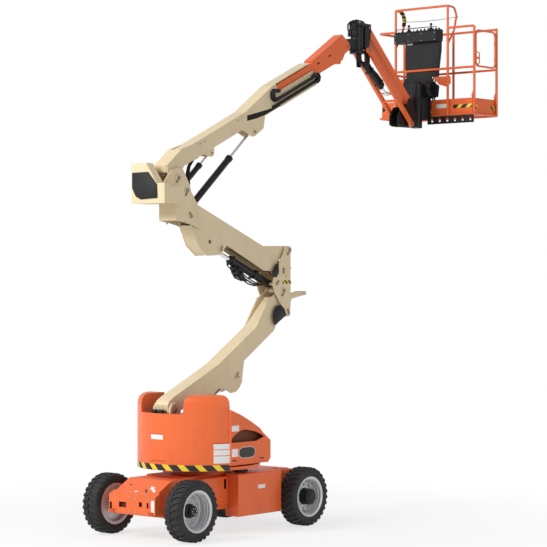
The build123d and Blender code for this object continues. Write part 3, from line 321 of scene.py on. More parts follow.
@dataclass(frozen=True)
class BareMetal:
    """Plated, polished or silvered metal with fine brushing."""

    name: str
    colour: Colour
    roughness: float
    metallic: float = 1.0
    brushing: Point = (60.0, 60.0, 900.0)
    grime: float = 0.25

    def build(self) -> bpy.types.Material:
        """Makes the material.

        Returns:
            The new material.
        """
        graph = Graph(self.name)
        fine = graph.noise(1.0, 3.0, 0.6, graph.stretch(self.brushing))
        grime = graph.ramp(graph.noise(11.0, 6.0, 0.65), 0.5, 0.8, 0.0, self.grime)
        graph.link(graph.mix(grime, self.colour, tuple(0.35 * c for c in self.colour)),
                   graph.shader.inputs["Base Color"])
        graph.link(graph.ramp(fine, 0.2, 0.8, self.roughness - 0.05, self.roughness + 0.1),
                   graph.shader.inputs["Roughness"])
        graph.set(Metallic=self.metallic)
        graph.bump(fine, 0.05, 0.0004, 0.0015)
        return graph.material


@dataclass(frozen=True)
class Rubber:
    """Black rubber or moulded plastic with dust caught in its grain."""

    name: str
    colour: Colour
    dust: Colour
    roughness: float = 0.7
    grain: float = 260.0
    relief: float = 0.25
    dustiness: float = 0.5
    gloss: float = 0.3

    def build(self) -> bpy.types.Material:
        """Makes the material.

        Returns:
            The new material.
        """
        graph = Graph(self.name)
        grain = graph.noise(self.grain, 4.0, 0.6)
        dusty = graph.ramp(graph.noise(7.0, 6.0, 0.7), 0.42, 0.8, 0.0, self.dustiness)
        graph.link(graph.mix(dusty, self.colour, self.dust), graph.shader.inputs["Base Color"])
        graph.link(graph.ramp(grain, 0.3, 0.7, self.roughness - 0.08, self.roughness + 0.1),
                   graph.shader.inputs["Roughness"])
        graph.set(Specular_IOR_Level=self.gloss)
        graph.bump(grain, self.relief, 0.0008, 0.002)
        return graph.material


class StripeRun(Enum):
    """Which way a band of hazard stripes runs."""

    ROUND = "round the swing axis"
    ALONG_X = "along the machine"
    ALONG_Y = "across the machine"


@dataclass(frozen=True)
class HazardStripes:
    """Yellow film with slanted black bars, scuffed in places."""

    name: str
    run: StripeRun
    pitch: float
    slant: float = 1.0
    yellow_part: float = 0.42
    start: float = 40.0  # keeps the length along the band above zero
    yellow: Colour = (0.86, 0.60, 0.02)
    scuffed_yellow: Colour = (0.60, 0.42, 0.05)
    black: Colour = (0.012, 0.012, 0.012)
    scuffed_black: Colour = (0.06, 0.055, 0.05)

    def build(self) -> bpy.types.Material:
        """Makes the material.

        Returns:
            The new material.
        """
        graph = Graph(self.name)
        x, y, z = graph.split()
        if self.run is StripeRun.ROUND:
            angle = graph.math("ARCTAN2", y, graph.math("SUBTRACT", x, SWING_X))
            along = graph.math("MULTIPLY", angle, HOOD_RADIUS)
        else:
            along = x if self.run is StripeRun.ALONG_X else y
        lean = graph.math("MULTIPLY", z, self.slant)
        length = graph.math("ADD", graph.math("ADD", along, self.start), lean)
        phase = graph.math("FRACT", graph.math("DIVIDE", length, self.pitch))
        bars = graph.math("GREATER_THAN", phase, self.yellow_part)
        scuffs = graph.ramp(graph.noise(55.0, 6.0, 0.7), 0.6, 0.75, 0.0, 0.5)
        yellow = graph.mix(scuffs, self.yellow, self.scuffed_yellow)
        black = graph.mix(scuffs, self.black, self.scuffed_black)
        graph.link(graph.mix(bars, yellow, black), graph.shader.inputs["Base Color"])
        graph.set(Roughness=0.42)
        graph.bump(graph.noise(300.0, 2.0), 0.04, 0.0004)
        return graph.material


@dataclass(frozen=True)
class Film:
    """A blank printed label under clear film."""

    name: str
    colour: Colour
    roughness: float = 0.38

    def build(self) -> bpy.types.Material:
        """Makes the material.

        Returns:
            The new material.
        """
        graph = Graph(self.name)
        faded = graph.ramp(graph.noise(24.0, 4.0), 0.4, 0.75, 0.0, 0.35)
        graph.link(graph.mix(faded, self.colour, tuple(0.82 * c for c in self.colour)),
                   graph.shader.inputs["Base Color"])
        graph.set(Roughness=self.roughness)
        graph.bump(graph.noise(180.0, 2.0), 0.03, 0.0003)
        return graph.material


ORANGE = Paint("orange_enamel", (0.83, 0.148, 0.036), (0.68, 0.105, 0.022), coat=0.12)
CREAM = Paint("cream_enamel", (0.74, 0.60, 0.38), (0.60, 0.47, 0.28), roughness=0.40, coat=0.1)
BLACK = Paint("black_enamel", (0.010, 0.010, 0.011), (0.022, 0.021, 0.019), roughness=0.36, coat=0.1,
              gloss=0.25)
BRONZE = Paint("bronze_enamel", (0.30, 0.21, 0.13), (0.16, 0.11, 0.07), roughness=0.45, coat=0.1)
# Dark orange standing in for shade: painted shade in the side covers' arch recess and the chassis end
# pockets, also used for the hood's thin dark line.
SHADOW = Paint("recess_enamel", (0.16, 0.035, 0.010), (0.10, 0.02, 0.008), roughness=0.5, coat=0.0)
PANEL_BLACK = Rubber("black_textured_panel", (0.014, 0.014, 0.015), (0.04, 0.039, 0.036), 0.6, 260.0, 0.2,
                     0.3)
# Black that stands in for the shade inside openings: painted shade on the main boom's slot and the fly
# section's slots.
OPENING_SHADE = Paint("dark_opening", (0.010, 0.010, 0.010), (0.02, 0.018, 0.016), roughness=0.8, coat=0.0)
PIN_BRONZE = BareMetal("aged_pin_steel", (0.30, 0.24, 0.20), 0.45, 0.7)
SILVER = BareMetal("silver_wheel_paint", (0.62, 0.62, 0.63), 0.42, 0.55)
CHROME = BareMetal("hard_chrome_rod", (0.80, 0.80, 0.82), 0.12, 1.0, (900.0, 900.0, 60.0), 0.1)
ZINC = BareMetal("zinc_plated_hardware", (0.62, 0.61, 0.58), 0.34)
TYRE = Rubber("tyre_rubber", (0.024, 0.024, 0.025), (0.075, 0.072, 0.066), 0.66)
PLASTIC = Rubber("black_moulded_plastic", (0.010, 0.010, 0.011), (0.026, 0.025, 0.023), 0.5, 500.0, 0.15, 0.3)
HOSE = Rubber("hydraulic_hose_rubber", (0.012, 0.012, 0.013), (0.035, 0.033, 0.030), 0.55, 700.0, 0.2, 0.3)
WHITE_FILM = Film("white_label_film", (0.80, 0.80, 0.78))
BLACK_FILM = Film("black_label_film", (0.012, 0.012, 0.012), 0.3)
YELLOW_FILM = Film("yellow_label_film", (0.85, 0.58, 0.03))
RED = Film("red_button_plastic", (0.62, 0.02, 0.02), 0.3)
HOOD_STRIPES = HazardStripes("hood_hazard_stripes", StripeRun.ROUND, 0.205)
TOE_STRIPES = HazardStripes("toe_board_hazard_stripes", StripeRun.ALONG_Y, 0.15)
TOE_STRIPES_X = HazardStripes("side_toe_hazard_stripes", StripeRun.ALONG_X, 0.10)
POST_STRIPES = HazardStripes("upright_hazard_stripes", StripeRun.ALONG_X, 0.07)

Finish = Paint | BareMetal | Rubber | HazardStripes | Film
_built: dict[str, bpy.types.Material] = {}


def material(finish: Finish) -> bpy.types.Material:
    """Makes the material of a finish once.

    Args:
        finish: the finish.

    Returns:
        Its material.
    """
    if finish.name not in _built:
        _built[finish.name] = finish.build()
    return _built[finish.name]


# ---------------------------------------------------------------- bench tools


def deselect() -> None:
    """Leaves nothing selected."""
    if bpy.context.object and bpy.context.object.mode != "OBJECT":
        bpy.ops.object.mode_set(mode="OBJECT")
    bpy.ops.object.select_all(action="DESELECT")


def take(obj: bpy.types.Object) -> None:
    """Makes one object the only selected and active one.

    Args:
        obj: the object.
    """
    deselect()
    obj.select_set(True)
    bpy.context.view_layer.objects.active = obj


def settle(obj: bpy.types.Object) -> None:
    """Moves the object's place and turn into its mesh."""
    take(obj)
    bpy.ops.object.transform_apply(location=True, rotation=True, scale=True)


def apply_modifiers(obj: bpy.types.Object) -> None:
    """Applies every modifier in order.

    Args:
        obj: the object that has them.
    """
    take(obj)
    for modifier in list(obj.modifiers):
        bpy.ops.object.modifier_apply(modifier=modifier.name)


def soften(obj: bpy.types.Object, width: float, segments: int = 2, angle: float = 35.0) -> None:
    """Rounds the sharp edges and smooths the shading of the rest.

    Args:
        obj: the piece.
        width: how far the rounding reaches from an edge, or 0 for none.
        segments: faces across the rounding.
        angle: degrees past which an edge is sharp.
    """
    if width:
        bevel = obj.modifiers.new("rounded_edges", "BEVEL")
        bevel.width = width
        bevel.segments = segments
        bevel.limit_method = "ANGLE"
        bevel.angle_limit = math.radians(angle)
        apply_modifiers(obj)
    take(obj)
    bpy.ops.object.shade_smooth_by_angle(angle=math.radians(angle))


def face_out(obj: bpy.types.Object) -> None:
    """Merges doubles and turns every face outward.

    Args:
        obj: the piece.
    """
    take(obj)
    bpy.ops.object.mode_set(mode="EDIT")
    bpy.ops.mesh.select_all(action="SELECT")
    bpy.ops.mesh.remove_doubles(threshold=1e-5)
    bpy.ops.mesh.normals_make_consistent(inside=False)
    bpy.ops.object.mode_set(mode="OBJECT")


def finish_piece(obj: bpy.types.Object, name: str, finish: Finish, body: str | None) -> bpy.types.Object:
    """Names, colours and carries a finished piece.

    Args:
        obj: the piece, already in place.
        name: its name.
        finish: what it is made of.
        body: the CAD body it moves with, or None for a piece left unattached.

    Returns:
        The piece.
    """
    settle(obj)
    obj.name = name
    obj.data.name = name
    obj.data.materials.clear()
    obj.data.materials.append(material(finish))
    if body:
        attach(obj, body)
    return obj


def block(low: Point, high: Point, edge: float = 0.003) -> bpy.types.Object:
    """A box with rounded edges.

    Args:
        low: one corner.
        high: the opposite corner.
        edge: width of its rounding, kept under the box's own thickness.

    Returns:
        The piece.
    """
    middle = [(a + b) / 2 for a, b in zip(low, high)]
    size = [abs(b - a) for a, b in zip(low, high)]
    deselect()
    bpy.ops.mesh.primitive_cube_add(size=1.0, location=middle, scale=size)
    obj = bpy.context.object
    settle(obj)
    soften(obj, min(edge, min(size) * 0.45))
    return obj


def rod(start: Point, end: Point, radius: float, edge: float = 0.002, sides: int = 24) -> bpy.types.Object:
    """A round bar with eased ends.

    Args:
        start: middle of one end.
        end: middle of the other.
        radius: its radius.
        edge: width of the easing.
        sides: faces round it.

    Returns:
        The piece.
    """
    a, b = Vector(start), Vector(end)
    turn = (b - a).to_track_quat("Z", "Y").to_euler()
    deselect()
    bpy.ops.mesh.primitive_cylinder_add(vertices=sides, radius=radius, depth=(b - a).length,
                                        location=(a + b) / 2, rotation=turn)
    obj = bpy.context.object
    settle(obj)
    soften(obj, min(edge, radius * 0.4))
    return obj


def slab(outline: Sequence[Corner], low: float, high: float, across: Across = Across.Y,
         edge: float = 0.002) -> bpy.types.Object:
    """A flat outline pulled from low to high along an axis, with rounded edges.

    Args:
        outline: corners, as (x, z) for Y, (y, z) for X and (x, y) for Z.
        low: where the piece starts along the axis.
        high: where it ends.
        across: the axis.
        edge: radius of its edges.

    Returns:
        The piece.
    """
    def lift(corner: Corner, depth: float) -> Point:
        """A corner of the outline at a depth along the axis."""
        a, b = corner
        return {Across.X: (depth, a, b), Across.Y: (a, depth, b), Across.Z: (a, b, depth)}[across]

    deselect()
    bpy.ops.mesh.primitive_circle_add(vertices=len(outline), radius=1.0, fill_type="NGON")
    obj = bpy.context.object
    for vertex, corner in zip(obj.data.vertices, outline):
        vertex.co = lift(corner, low)
    bpy.ops.object.mode_set(mode="EDIT")
    bpy.ops.mesh.select_all(action="SELECT")
    pull = Vector(lift((0.0, 0.0), high - low))
    bpy.ops.mesh.extrude_region_move(TRANSFORM_OT_translate={"value": pull})
    bpy.ops.object.mode_set(mode="OBJECT")
    face_out(obj)
    soften(obj, edge)
    return obj


def pipe(points: Sequence[Point], radius: float, smooth: bool = True) -> bpy.types.Object:
    """A hose or bent tube, closed at both ends.

    Args:
        points: places along it.
        radius: its radius.
        smooth: whether it flows past the points or runs straight from each to the next.

    Returns:
        The piece.
    """
    curve = bpy.data.curves.new("run", "CURVE")
    curve.dimensions = "3D"
    curve.bevel_depth = radius
    curve.bevel_resolution = 4
    curve.resolution_u = 10
    curve.use_fill_caps = True
    if smooth:
        spline = curve.splines.new("NURBS")
        spline.order_u = 4
        spline.use_endpoint_u = True
    else:
        spline = curve.splines.new("POLY")
    spline.points.add(len(points) - 1)
    for knot, point in zip(spline.points, points):
        knot.co = (*point, 1.0)
    obj = bpy.data.objects.new("run", curve)
    bpy.context.scene.collection.objects.link(obj)
    take(obj)
    bpy.ops.object.convert(target="MESH")
    obj = bpy.context.object
    face_out(obj)
    soften(obj, 0.0, angle=40.0)
    return obj


def flat_pipe(run: Sequence[Corner], y: float, radius: float, smooth: bool = True) -> bpy.types.Object:
    """A pipe along (x, z) points that keeps one place across."""
    return pipe([(a, y, b) for a, b in run], radius, smooth)


def spun(section: Sequence[Corner], angle: float) -> bpy.types.Object:
    """Spins a closed section round the Y axis.

    Args:
        section: its corners as (radius, place across).
        angle: degrees past which an edge stays sharp.

    Returns:
        The piece.
    """
    deselect()
    bpy.ops.mesh.primitive_circle_add(vertices=len(section), radius=1.0, fill_type="NOTHING")
    obj = bpy.context.object
    for vertex, (radius, across) in zip(obj.data.vertices, section):
        vertex.co = (radius, across, 0.0)
    bpy.ops.object.mode_set(mode="EDIT")
    bpy.ops.mesh.select_all(action="SELECT")
    bpy.ops.mesh.spin(steps=72, angle=TURN, center=(0, 0, 0), axis=(0, 1, 0))
    bpy.ops.object.mode_set(mode="OBJECT")
    face_out(obj)
    soften(obj, 0.0, angle=angle)
    return obj


def copy_of(obj: bpy.types.Object, matrix: Matrix) -> bpy.types.Object:
    """A copy with its own mesh.

    Args:
        obj: what to copy.
        matrix: moves the copy's mesh.

    Returns:
        The copy.
    """
    twin = obj.copy()
    twin.data = obj.data.copy()
    bpy.context.scene.collection.objects.link(twin)
    twin.data.transform(matrix)
    if matrix.determinant() < 0:
        twin.data.flip_normals()
    return twin


def join(parts: Sequence[bpy.types.Object]) -> bpy.types.Object:
    """Joins pieces into one.

    Args:
        parts: the pieces.

    Returns:
        The joined piece.
    """
    deselect()
    for part in parts:
        part.select_set(True)
    bpy.context.view_layer.objects.active = parts[0]
    bpy.ops.object.join()
    return bpy.context.object


def mirrored(parts: Sequence[bpy.types.Object]) -> list[bpy.types.Object]:
    """The parts and their copies on the other side of the machine."""
    flip = Matrix.Diagonal((1.0, -1.0, 1.0, 1.0))
    return [*parts, *[copy_of(part, flip) for part in parts]]


def ring(part: bpy.types.Object, count: int, axis: str = "Y") -> bpy.types.Object:
    """Copies of a part spaced evenly round an axis.

    Args:
        part: the first of them.
        count: how many there are in all.
        axis: what they stand round, through the origin.

    Returns:
        The joined piece.
    """
    turns = [Matrix.Rotation(TURN * k / count, 4, axis) for k in range(1, count)]
    return join([part, *[copy_of(part, turn) for turn in turns]])


def hex_head(centre: Point, outward: Point, across_flats: float, height: float) -> bpy.types.Object:
    """A hexagonal bolt head standing outward on a surface."""
    base, way = Vector(centre), Vector(outward).normalized()
    return rod(base, base + way * height, across_flats / math.sqrt(3), 0.0012, 6)


def side_bolts(spots: Sequence[Corner], y: float, across_flats: float,
               height: float) -> list[bpy.types.Object]:
    """Bolt heads on a near face y from the middle, at (x, z) spots."""
    return [hex_head((x, -y, z), (0, -1, 0), across_flats, height) for x, z in spots]


def oval(middle: Corner, half: Corner, corners: int, power: Corner = (1.0, 1.0)) -> list[Corner]:
    """The outline of an oval.

    Args:
        middle: its middle.
        half: its half sizes.
        corners: how many corners it has.
        power: 1 for an ellipse, less for squarer ends, along each axis.

    Returns:
        Its corners.
    """
    outline = []
    for k in range(corners):
        ways = math.cos(TURN * k / corners), math.sin(TURN * k / corners)
        a, b = (m + h * math.copysign(abs(w) ** p, w) for m, h, w, p in zip(middle, half, ways, power))
        outline.append((a, b))
    return outline


def grown(outline: Sequence[Corner], middle: Corner, by: Corner) -> list[Corner]:
    """An outline made larger or smaller about a middle, by a factor along each axis."""
    return [(middle[0] + by[0] * (a - middle[0]), middle[1] + by[1] * (b - middle[1])) for a, b in outline]


# ---------------------------------------------------------------- wheels


@dataclass
class Wheel:
    """A lugged industrial tyre and the hardware on its rim."""

    name: str
    body: str
    x: float
    side: Side
    driven: bool
    y: float = 0.6425
    radius: float = 0.354
    carcass: float = 0.338
    lugs: int = 29
    nuts: int = 9
    nut_circle: float = 0.150
    hub_bolts: int = 6

    def carcass_outline(self) -> list[Corner]:
        """The tyre's section, from bead to bead.

        Returns:
            Its corners as (radius, place across).
        """
        return [
            (0.2268, -0.090), (0.238, -0.098), (0.250, -0.105), (0.256, -0.108), (0.262, -0.109),
            (0.282, -0.1125), (0.300, -0.1125), (0.316, -0.109), (0.328, -0.100), (0.335, -0.082),
            (self.carcass, -0.05), (self.carcass, 0.0), (self.carcass, 0.05), (0.335, 0.082),
            (0.328, 0.100), (0.316, 0.109), (0.300, 0.1125), (0.282, 0.1125), (0.262, 0.109), (0.256, 0.108),
            (0.250, 0.105), (0.238, 0.098), (0.2268, 0.090),
        ]

    def build_tyre(self) -> bpy.types.Object:
        """Spins the carcass and stands the tread lugs on it.

        Returns:
            The tyre, at the origin.
        """
        pieces = [spun(self.carcass_outline(), 50.0)]
        step = TURN / self.lugs
        for hand, start in ((-1.0, 0.75), (1.0, 0.25)):
            lug = self.build_lug(hand)
            lug.data.transform(Matrix.Rotation(step * start, 4, "Y"))
            pieces.append(ring(lug, self.lugs))
        return join(pieces)

    def build_lug(self, hand: float) -> bpy.types.Object:
        """One tread lug that starts near the middle, slants outward and turns down the shoulder.

        Args:
            hand: the sign of Y on its side of the tread.

        Returns:
            The lug, at the wheel's front.
        """
        top = self.radius - 0.001
        low = self.carcass - 0.012
        deselect()
        bpy.ops.mesh.primitive_grid_add(x_subdivisions=1, y_subdivisions=5, size=1.0)
        lug = bpy.context.object
        # place across, half length along the tread, shift along the tread, height
        rows = [(0.006, 0.020, -0.020, top), (0.040, 0.019, -0.006, top), (0.072, 0.018, 0.006, top - 0.0005),
                (0.094, 0.017, 0.012, top - 0.004), (0.108, 0.016, 0.014, top - 0.016),
                (0.1135, 0.014, 0.014, 0.314)]
        for index, vertex in enumerate(lug.data.vertices):
            row, way = divmod(index, 2)
            across, half, shift, height = rows[row]
            along = shift + (half if way else -half)
            turn = along / self.radius
            vertex.co = (height * math.cos(turn), hand * across, height * math.sin(turn))
        bpy.ops.object.mode_set(mode="EDIT")
        bpy.ops.mesh.select_all(action="SELECT")
        bpy.ops.mesh.extrude_region_move()
        bpy.ops.object.mode_set(mode="OBJECT")
        for vertex in lug.data.vertices:
            if vertex.select:
                reach = math.hypot(vertex.co.x, vertex.co.z)
                sunk = low if reach > 0.32 else reach - 0.012
                vertex.co.x *= sunk / reach
                vertex.co.z *= sunk / reach
                vertex.co.y *= 0.93
        face_out(lug)
        soften(lug, 0.0025, 1)
        return lug

    def place(self, obj: bpy.types.Object) -> None:
        """Moves a wheel part from the origin to the wheel's place, outside facing out."""
        flip = Matrix.Identity(4) if self.side is Side.FAR else Matrix.Rotation(math.pi, 4, "Z")
        obj.data.transform(Matrix.Translation((self.x, self.side.value * self.y, AXLE_Z)) @ flip)

    def build_hardware(self) -> tuple[bpy.types.Object, bpy.types.Object]:
        """Makes the wheel nuts on their studs, and the hub cap's bolts.

        Returns:
            The nuts and the bolts, at the origin.
        """
        seat, hub_face, bolt_circle = (0.0305, 0.1185, 0.072) if self.driven else (-0.048, 0.0505, 0.034)
        circle = self.nut_circle
        nut = join([
            hex_head((circle, seat, 0.0), (0, 1, 0), 0.027, 0.016),
            rod((circle, seat + 0.010, 0.0), (circle, seat + 0.026, 0.0), 0.0075, 0.001, 12),
        ])
        bolt = hex_head((bolt_circle, hub_face, 0.0), (0, 1, 0), 0.013, 0.007)
        return ring(nut, self.nuts), ring(bolt, self.hub_bolts)

    def build_ridges(self) -> bpy.types.Object:
        """Rolled ridges inside the rim's barrel and a bead round its lip.

        Returns:
            The ridges, at the origin.
        """
        profile = ((-0.007, 0.0), (-0.004, 0.007), (0.004, 0.008), (0.009, 0.002), (0.009, -0.006),
                   (-0.004, -0.007))
        return join([spun([(reach + out, across + along) for out, along in profile], 60.0)
                     for across, reach in ((0.094, 0.2335), (0.060, 0.2095), (0.024, 0.2065))])

    def build(self) -> None:
        """Builds and dresses the wheel."""
        ridges = self.build_ridges()
        self.place(ridges)
        finish_piece(ridges, f"{self.name}_rim_ridges", SILVER, self.body)
        tyre = self.build_tyre()
        self.place(tyre)
        finish_piece(tyre, f"{self.name}_lugged_tyre", TYRE, self.body)
        kind = "drive" if self.driven else "steer"
        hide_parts(f"{kind}_tyre_{self.name.split('_')[1]}")
        nuts, bolts = self.build_hardware()
        for part, label in ((nuts, "wheel_nuts"), (bolts, "hub_bolts")):
            self.place(part)
            finish_piece(part, f"{self.name}_{label}", ZINC, self.body)
        LOG.info("wheel %s", self.name)


# ---------------------------------------------------------------- finishes laid on CAD faces


def repaint(frame: dict, node: str, finish: Finish, test: FaceTest) -> None:
    """Gives some faces of a CAD node another finish.

    Args:
        frame: the loaded frame.
        node: the CAD node's name.
        finish: the finish for the chosen faces.
        test: says yes to a face from its middle and its normal.
    """
    mesh = frame["nodes"][node].data
    mesh.materials.append(material(finish))
    slot = len(mesh.materials) - 1
    for face in mesh.polygons:
        if test(face.center, face.normal):
            face.material_index = slot


@dataclass(frozen=True)
class FaceSpan:
    """A span of length, distance across and height that picks faces, on both sides alike."""

    low: Point
    high: Point

    def __call__(self, centre: Vector, normal: Vector) -> bool:
        """Whether a face's middle is inside the span."""
        place = (centre.x, abs(centre.y), centre.z)
        return all(a < value < b for a, value, b in zip(self.low, place, self.high))


@dataclass
class FacePaint:
    """Dark hubs, inner faces and painted shade in recesses and a panel notch, all on CAD nodes shared with
    brighter paint.
    """

    deck_top: float = 0.806
    pin_ends: float = 0.1355
    # Recess faces in these two spans get painted shade in dark orange.
    cover_arch_shade: FaceSpan = FaceSpan((-0.3935, 0.644, 1.083), (0.192, 0.7155, 1.228))
    end_pocket_shade: FaceSpan = FaceSpan((-1.2955, -1.0, 0.308), (-1.2570, 0.352, 0.444))
    # Notch faces in this span get painted shade in black.
    panel_slot_shade: FaceSpan = FaceSpan((-0.21, 0.41, 0.52), (-0.171, 0.4395, 0.642))

    def near_axle(self, centre: Vector, radius: float, inner: float) -> bool:
        """Whether a face is inside a radius of its axle and outboard of a place across."""
        reach = math.hypot(abs(centre.x) - AXLE_X, centre.z - AXLE_Z)
        return reach < radius and abs(centre.y) > inner

    def build(self, frame: dict) -> None:
        """Paints every such face.

        Args:
            frame: the loaded frame.
        """
        for side in ("left", "right"):
            repaint(frame, f"drive_rim_{side}", BLACK, lambda c, n: self.near_axle(c, 0.106, 0.640))
            repaint(frame, f"steer_rim_{side}", BLACK, lambda c, n: self.near_axle(c, 0.086, 0.600))
        repaint(frame, "turntable_frame", CREAM, lambda c, n: c.z > self.deck_top)
        repaint(frame, "turntable_frame", ZINC, lambda c, n: abs(c.y) > self.pin_ends and c.z > self.deck_top)
        # Painted shade: dark orange on the side covers' arch recess and the chassis end pockets.
        repaint(frame, "side_covers", SHADOW, self.cover_arch_shade)
        repaint(frame, "chassis_frame", SHADOW, self.end_pocket_shade)
        # Painted shade: black in the service panels' notch.
        repaint(frame, "service_panels", BLACK, self.panel_slot_shade)


# ---------------------------------------------------------------- turntable and chassis


@dataclass
class Hood:
    """The round rear hood's stripes and labels, the side covers' plates and what the hood hides."""

    sunk: float = 0.004
    header_skin: float = 0.0014
    stripe_skin: float = 0.0008
    cover_y: float = 0.716
    middle_label: Corner = (171.6, 186.2)
    corner_label: Corner = (233.0, 249.0)
    corner_rows: tuple[Corner, ...] = ((1.017, 1.078), (0.947, 1.008), (0.855, 0.938))

    def wrap(self, angles: Corner, heights: Corner, name: str, finish: Finish, skin: float = FILM) -> None:
        """A strip laid round the hood.

        Args:
            angles: where it starts and ends, in degrees round the swing axis from +X.
            heights: its lower and upper edge.
            name: its name.
            finish: what it is made of.
            skin: how far it stands off the hood.
        """
        start, end = angles
        steps = max(2, int(abs(end - start) / 3.0))
        turns = [math.radians(start + (end - start) * k / steps) for k in range(steps + 1)]
        outer, inner = HOOD_RADIUS + skin, HOOD_RADIUS - self.sunk
        outline = [(SWING_X + outer * math.cos(a), outer * math.sin(a)) for a in turns]
        outline += [(SWING_X + inner * math.cos(a), inner * math.sin(a)) for a in reversed(turns)]
        finish_piece(slab(outline, *heights, Across.Z, 0.0), name, finish, "turntable")

    def build_labels(self) -> None:
        """Blank labels on the hood."""
        self.wrap(self.middle_label, (1.121, 1.176), "hood_label_middle", WHITE_FILM)
        self.wrap(self.middle_label, (1.1765, 1.186), "hood_label_middle_header", RED, self.header_skin)
        for index, row in enumerate(self.corner_rows):
            self.wrap(self.corner_label, row, f"hood_label_corner_{index}", WHITE_FILM)
        self.wrap(self.corner_label, (1.079, 1.092), "hood_label_corner_header", RED, self.header_skin)
        self.wrap((172.0, 189.0), (0.872, 0.878), "hood_pinstripe", SHADOW, self.stripe_skin)

    def side_plate(self, outline: Sequence[Corner], thick: float, name: str, finish: Finish) -> None:
        """A thin plate on both side covers.

        Args:
            outline: its corners as (x, z).
            thick: how far it stands off the covers.
            name: its name.
            finish: what it is made of.
        """
        plate = slab(outline, self.cover_y - 0.002, self.cover_y + thick, Across.Y, 0.0)
        pair = join(mirrored([plate]))
        finish_piece(pair, name, finish, "turntable")

    def build_side_plates(self) -> None:
        """The side covers' black oval plate with its rim, the labels and the latch slots, the slots as black
        film of painted shade.
        """
        middle = (-0.119, 0.962)
        plate = oval(middle, (0.140, 0.060), 32, (0.55, 0.75))
        self.side_plate(plate, 0.0020, "cover_oval_plate", BLACK_FILM)
        self.side_plate(grown(plate, middle, (1.035, 1.07)), FILM, "cover_oval_rim", WHITE_FILM)
        self.side_plate([(-0.388, 0.923), (-0.282, 0.923), (-0.282, 1.014), (-0.388, 1.014)], FILM,
                        "cover_label_square", WHITE_FILM)
        self.side_plate([(-0.388, 1.216), (-0.262, 1.216), (-0.262, 1.281), (-0.388, 1.281)], FILM,
                        "cover_label_high", WHITE_FILM)
        # Painted shade: black film where the latch slots' openings show.
        for index, start in enumerate((-0.380, 0.112)):
            self.side_plate([(start, 0.872), (start + 0.075, 0.870), (start + 0.075, 0.886), (start, 0.888)],
                            0.0015, f"cover_latch_slot_{index}", BLACK_FILM)

    def build_details(self) -> None:
        """The drums behind the boom's foot, and the tank, pump and hoses under the hood."""
        drums = [rod((-0.836, y0, 1.440), (-0.836, y1, 1.440), 0.024, 0.005, 32)
                 for y0, y1 in ((-0.058, 0.010), (0.047, 0.115))]
        finish_piece(join(drums), "tower_foot_drums", BLACK, "turntable")
        tank = block((-0.700, 0.150, 0.804), (-0.330, 0.300, 1.300), 0.030)
        pump = rod((-0.560, -0.235, 0.806), (-0.560, -0.235, 1.180), 0.062, 0.012, 32)
        finish_piece(tank, "hydraulic_tank", BLACK, "turntable")
        finish_piece(pump, "hydraulic_pump", BLACK, "turntable")
        runs = [[(-0.560, -0.235, 1.17), (-0.56, -0.22, 1.33), (-0.66, -0.17, 1.36), (-0.72, -0.155, 1.18)],
                [(-0.500, 0.20, 1.29), (-0.50, 0.19, 1.38), (-0.62, 0.165, 1.38), (-0.70, 0.155, 1.20)]]
        hoses = [pipe(run, 0.011) for run in runs]
        finish_piece(join(hoses), "tower_hoses", HOSE, "turntable")

    def build(self) -> None:
        """Builds everything on the turntable's covers."""
        self.wrap((111.9, 248.1), (0.768, 0.836), "hood_hazard_band", HOOD_STRIPES)
        self.build_labels()
        self.build_side_plates()
        self.build_details()
        LOG.info("hood")


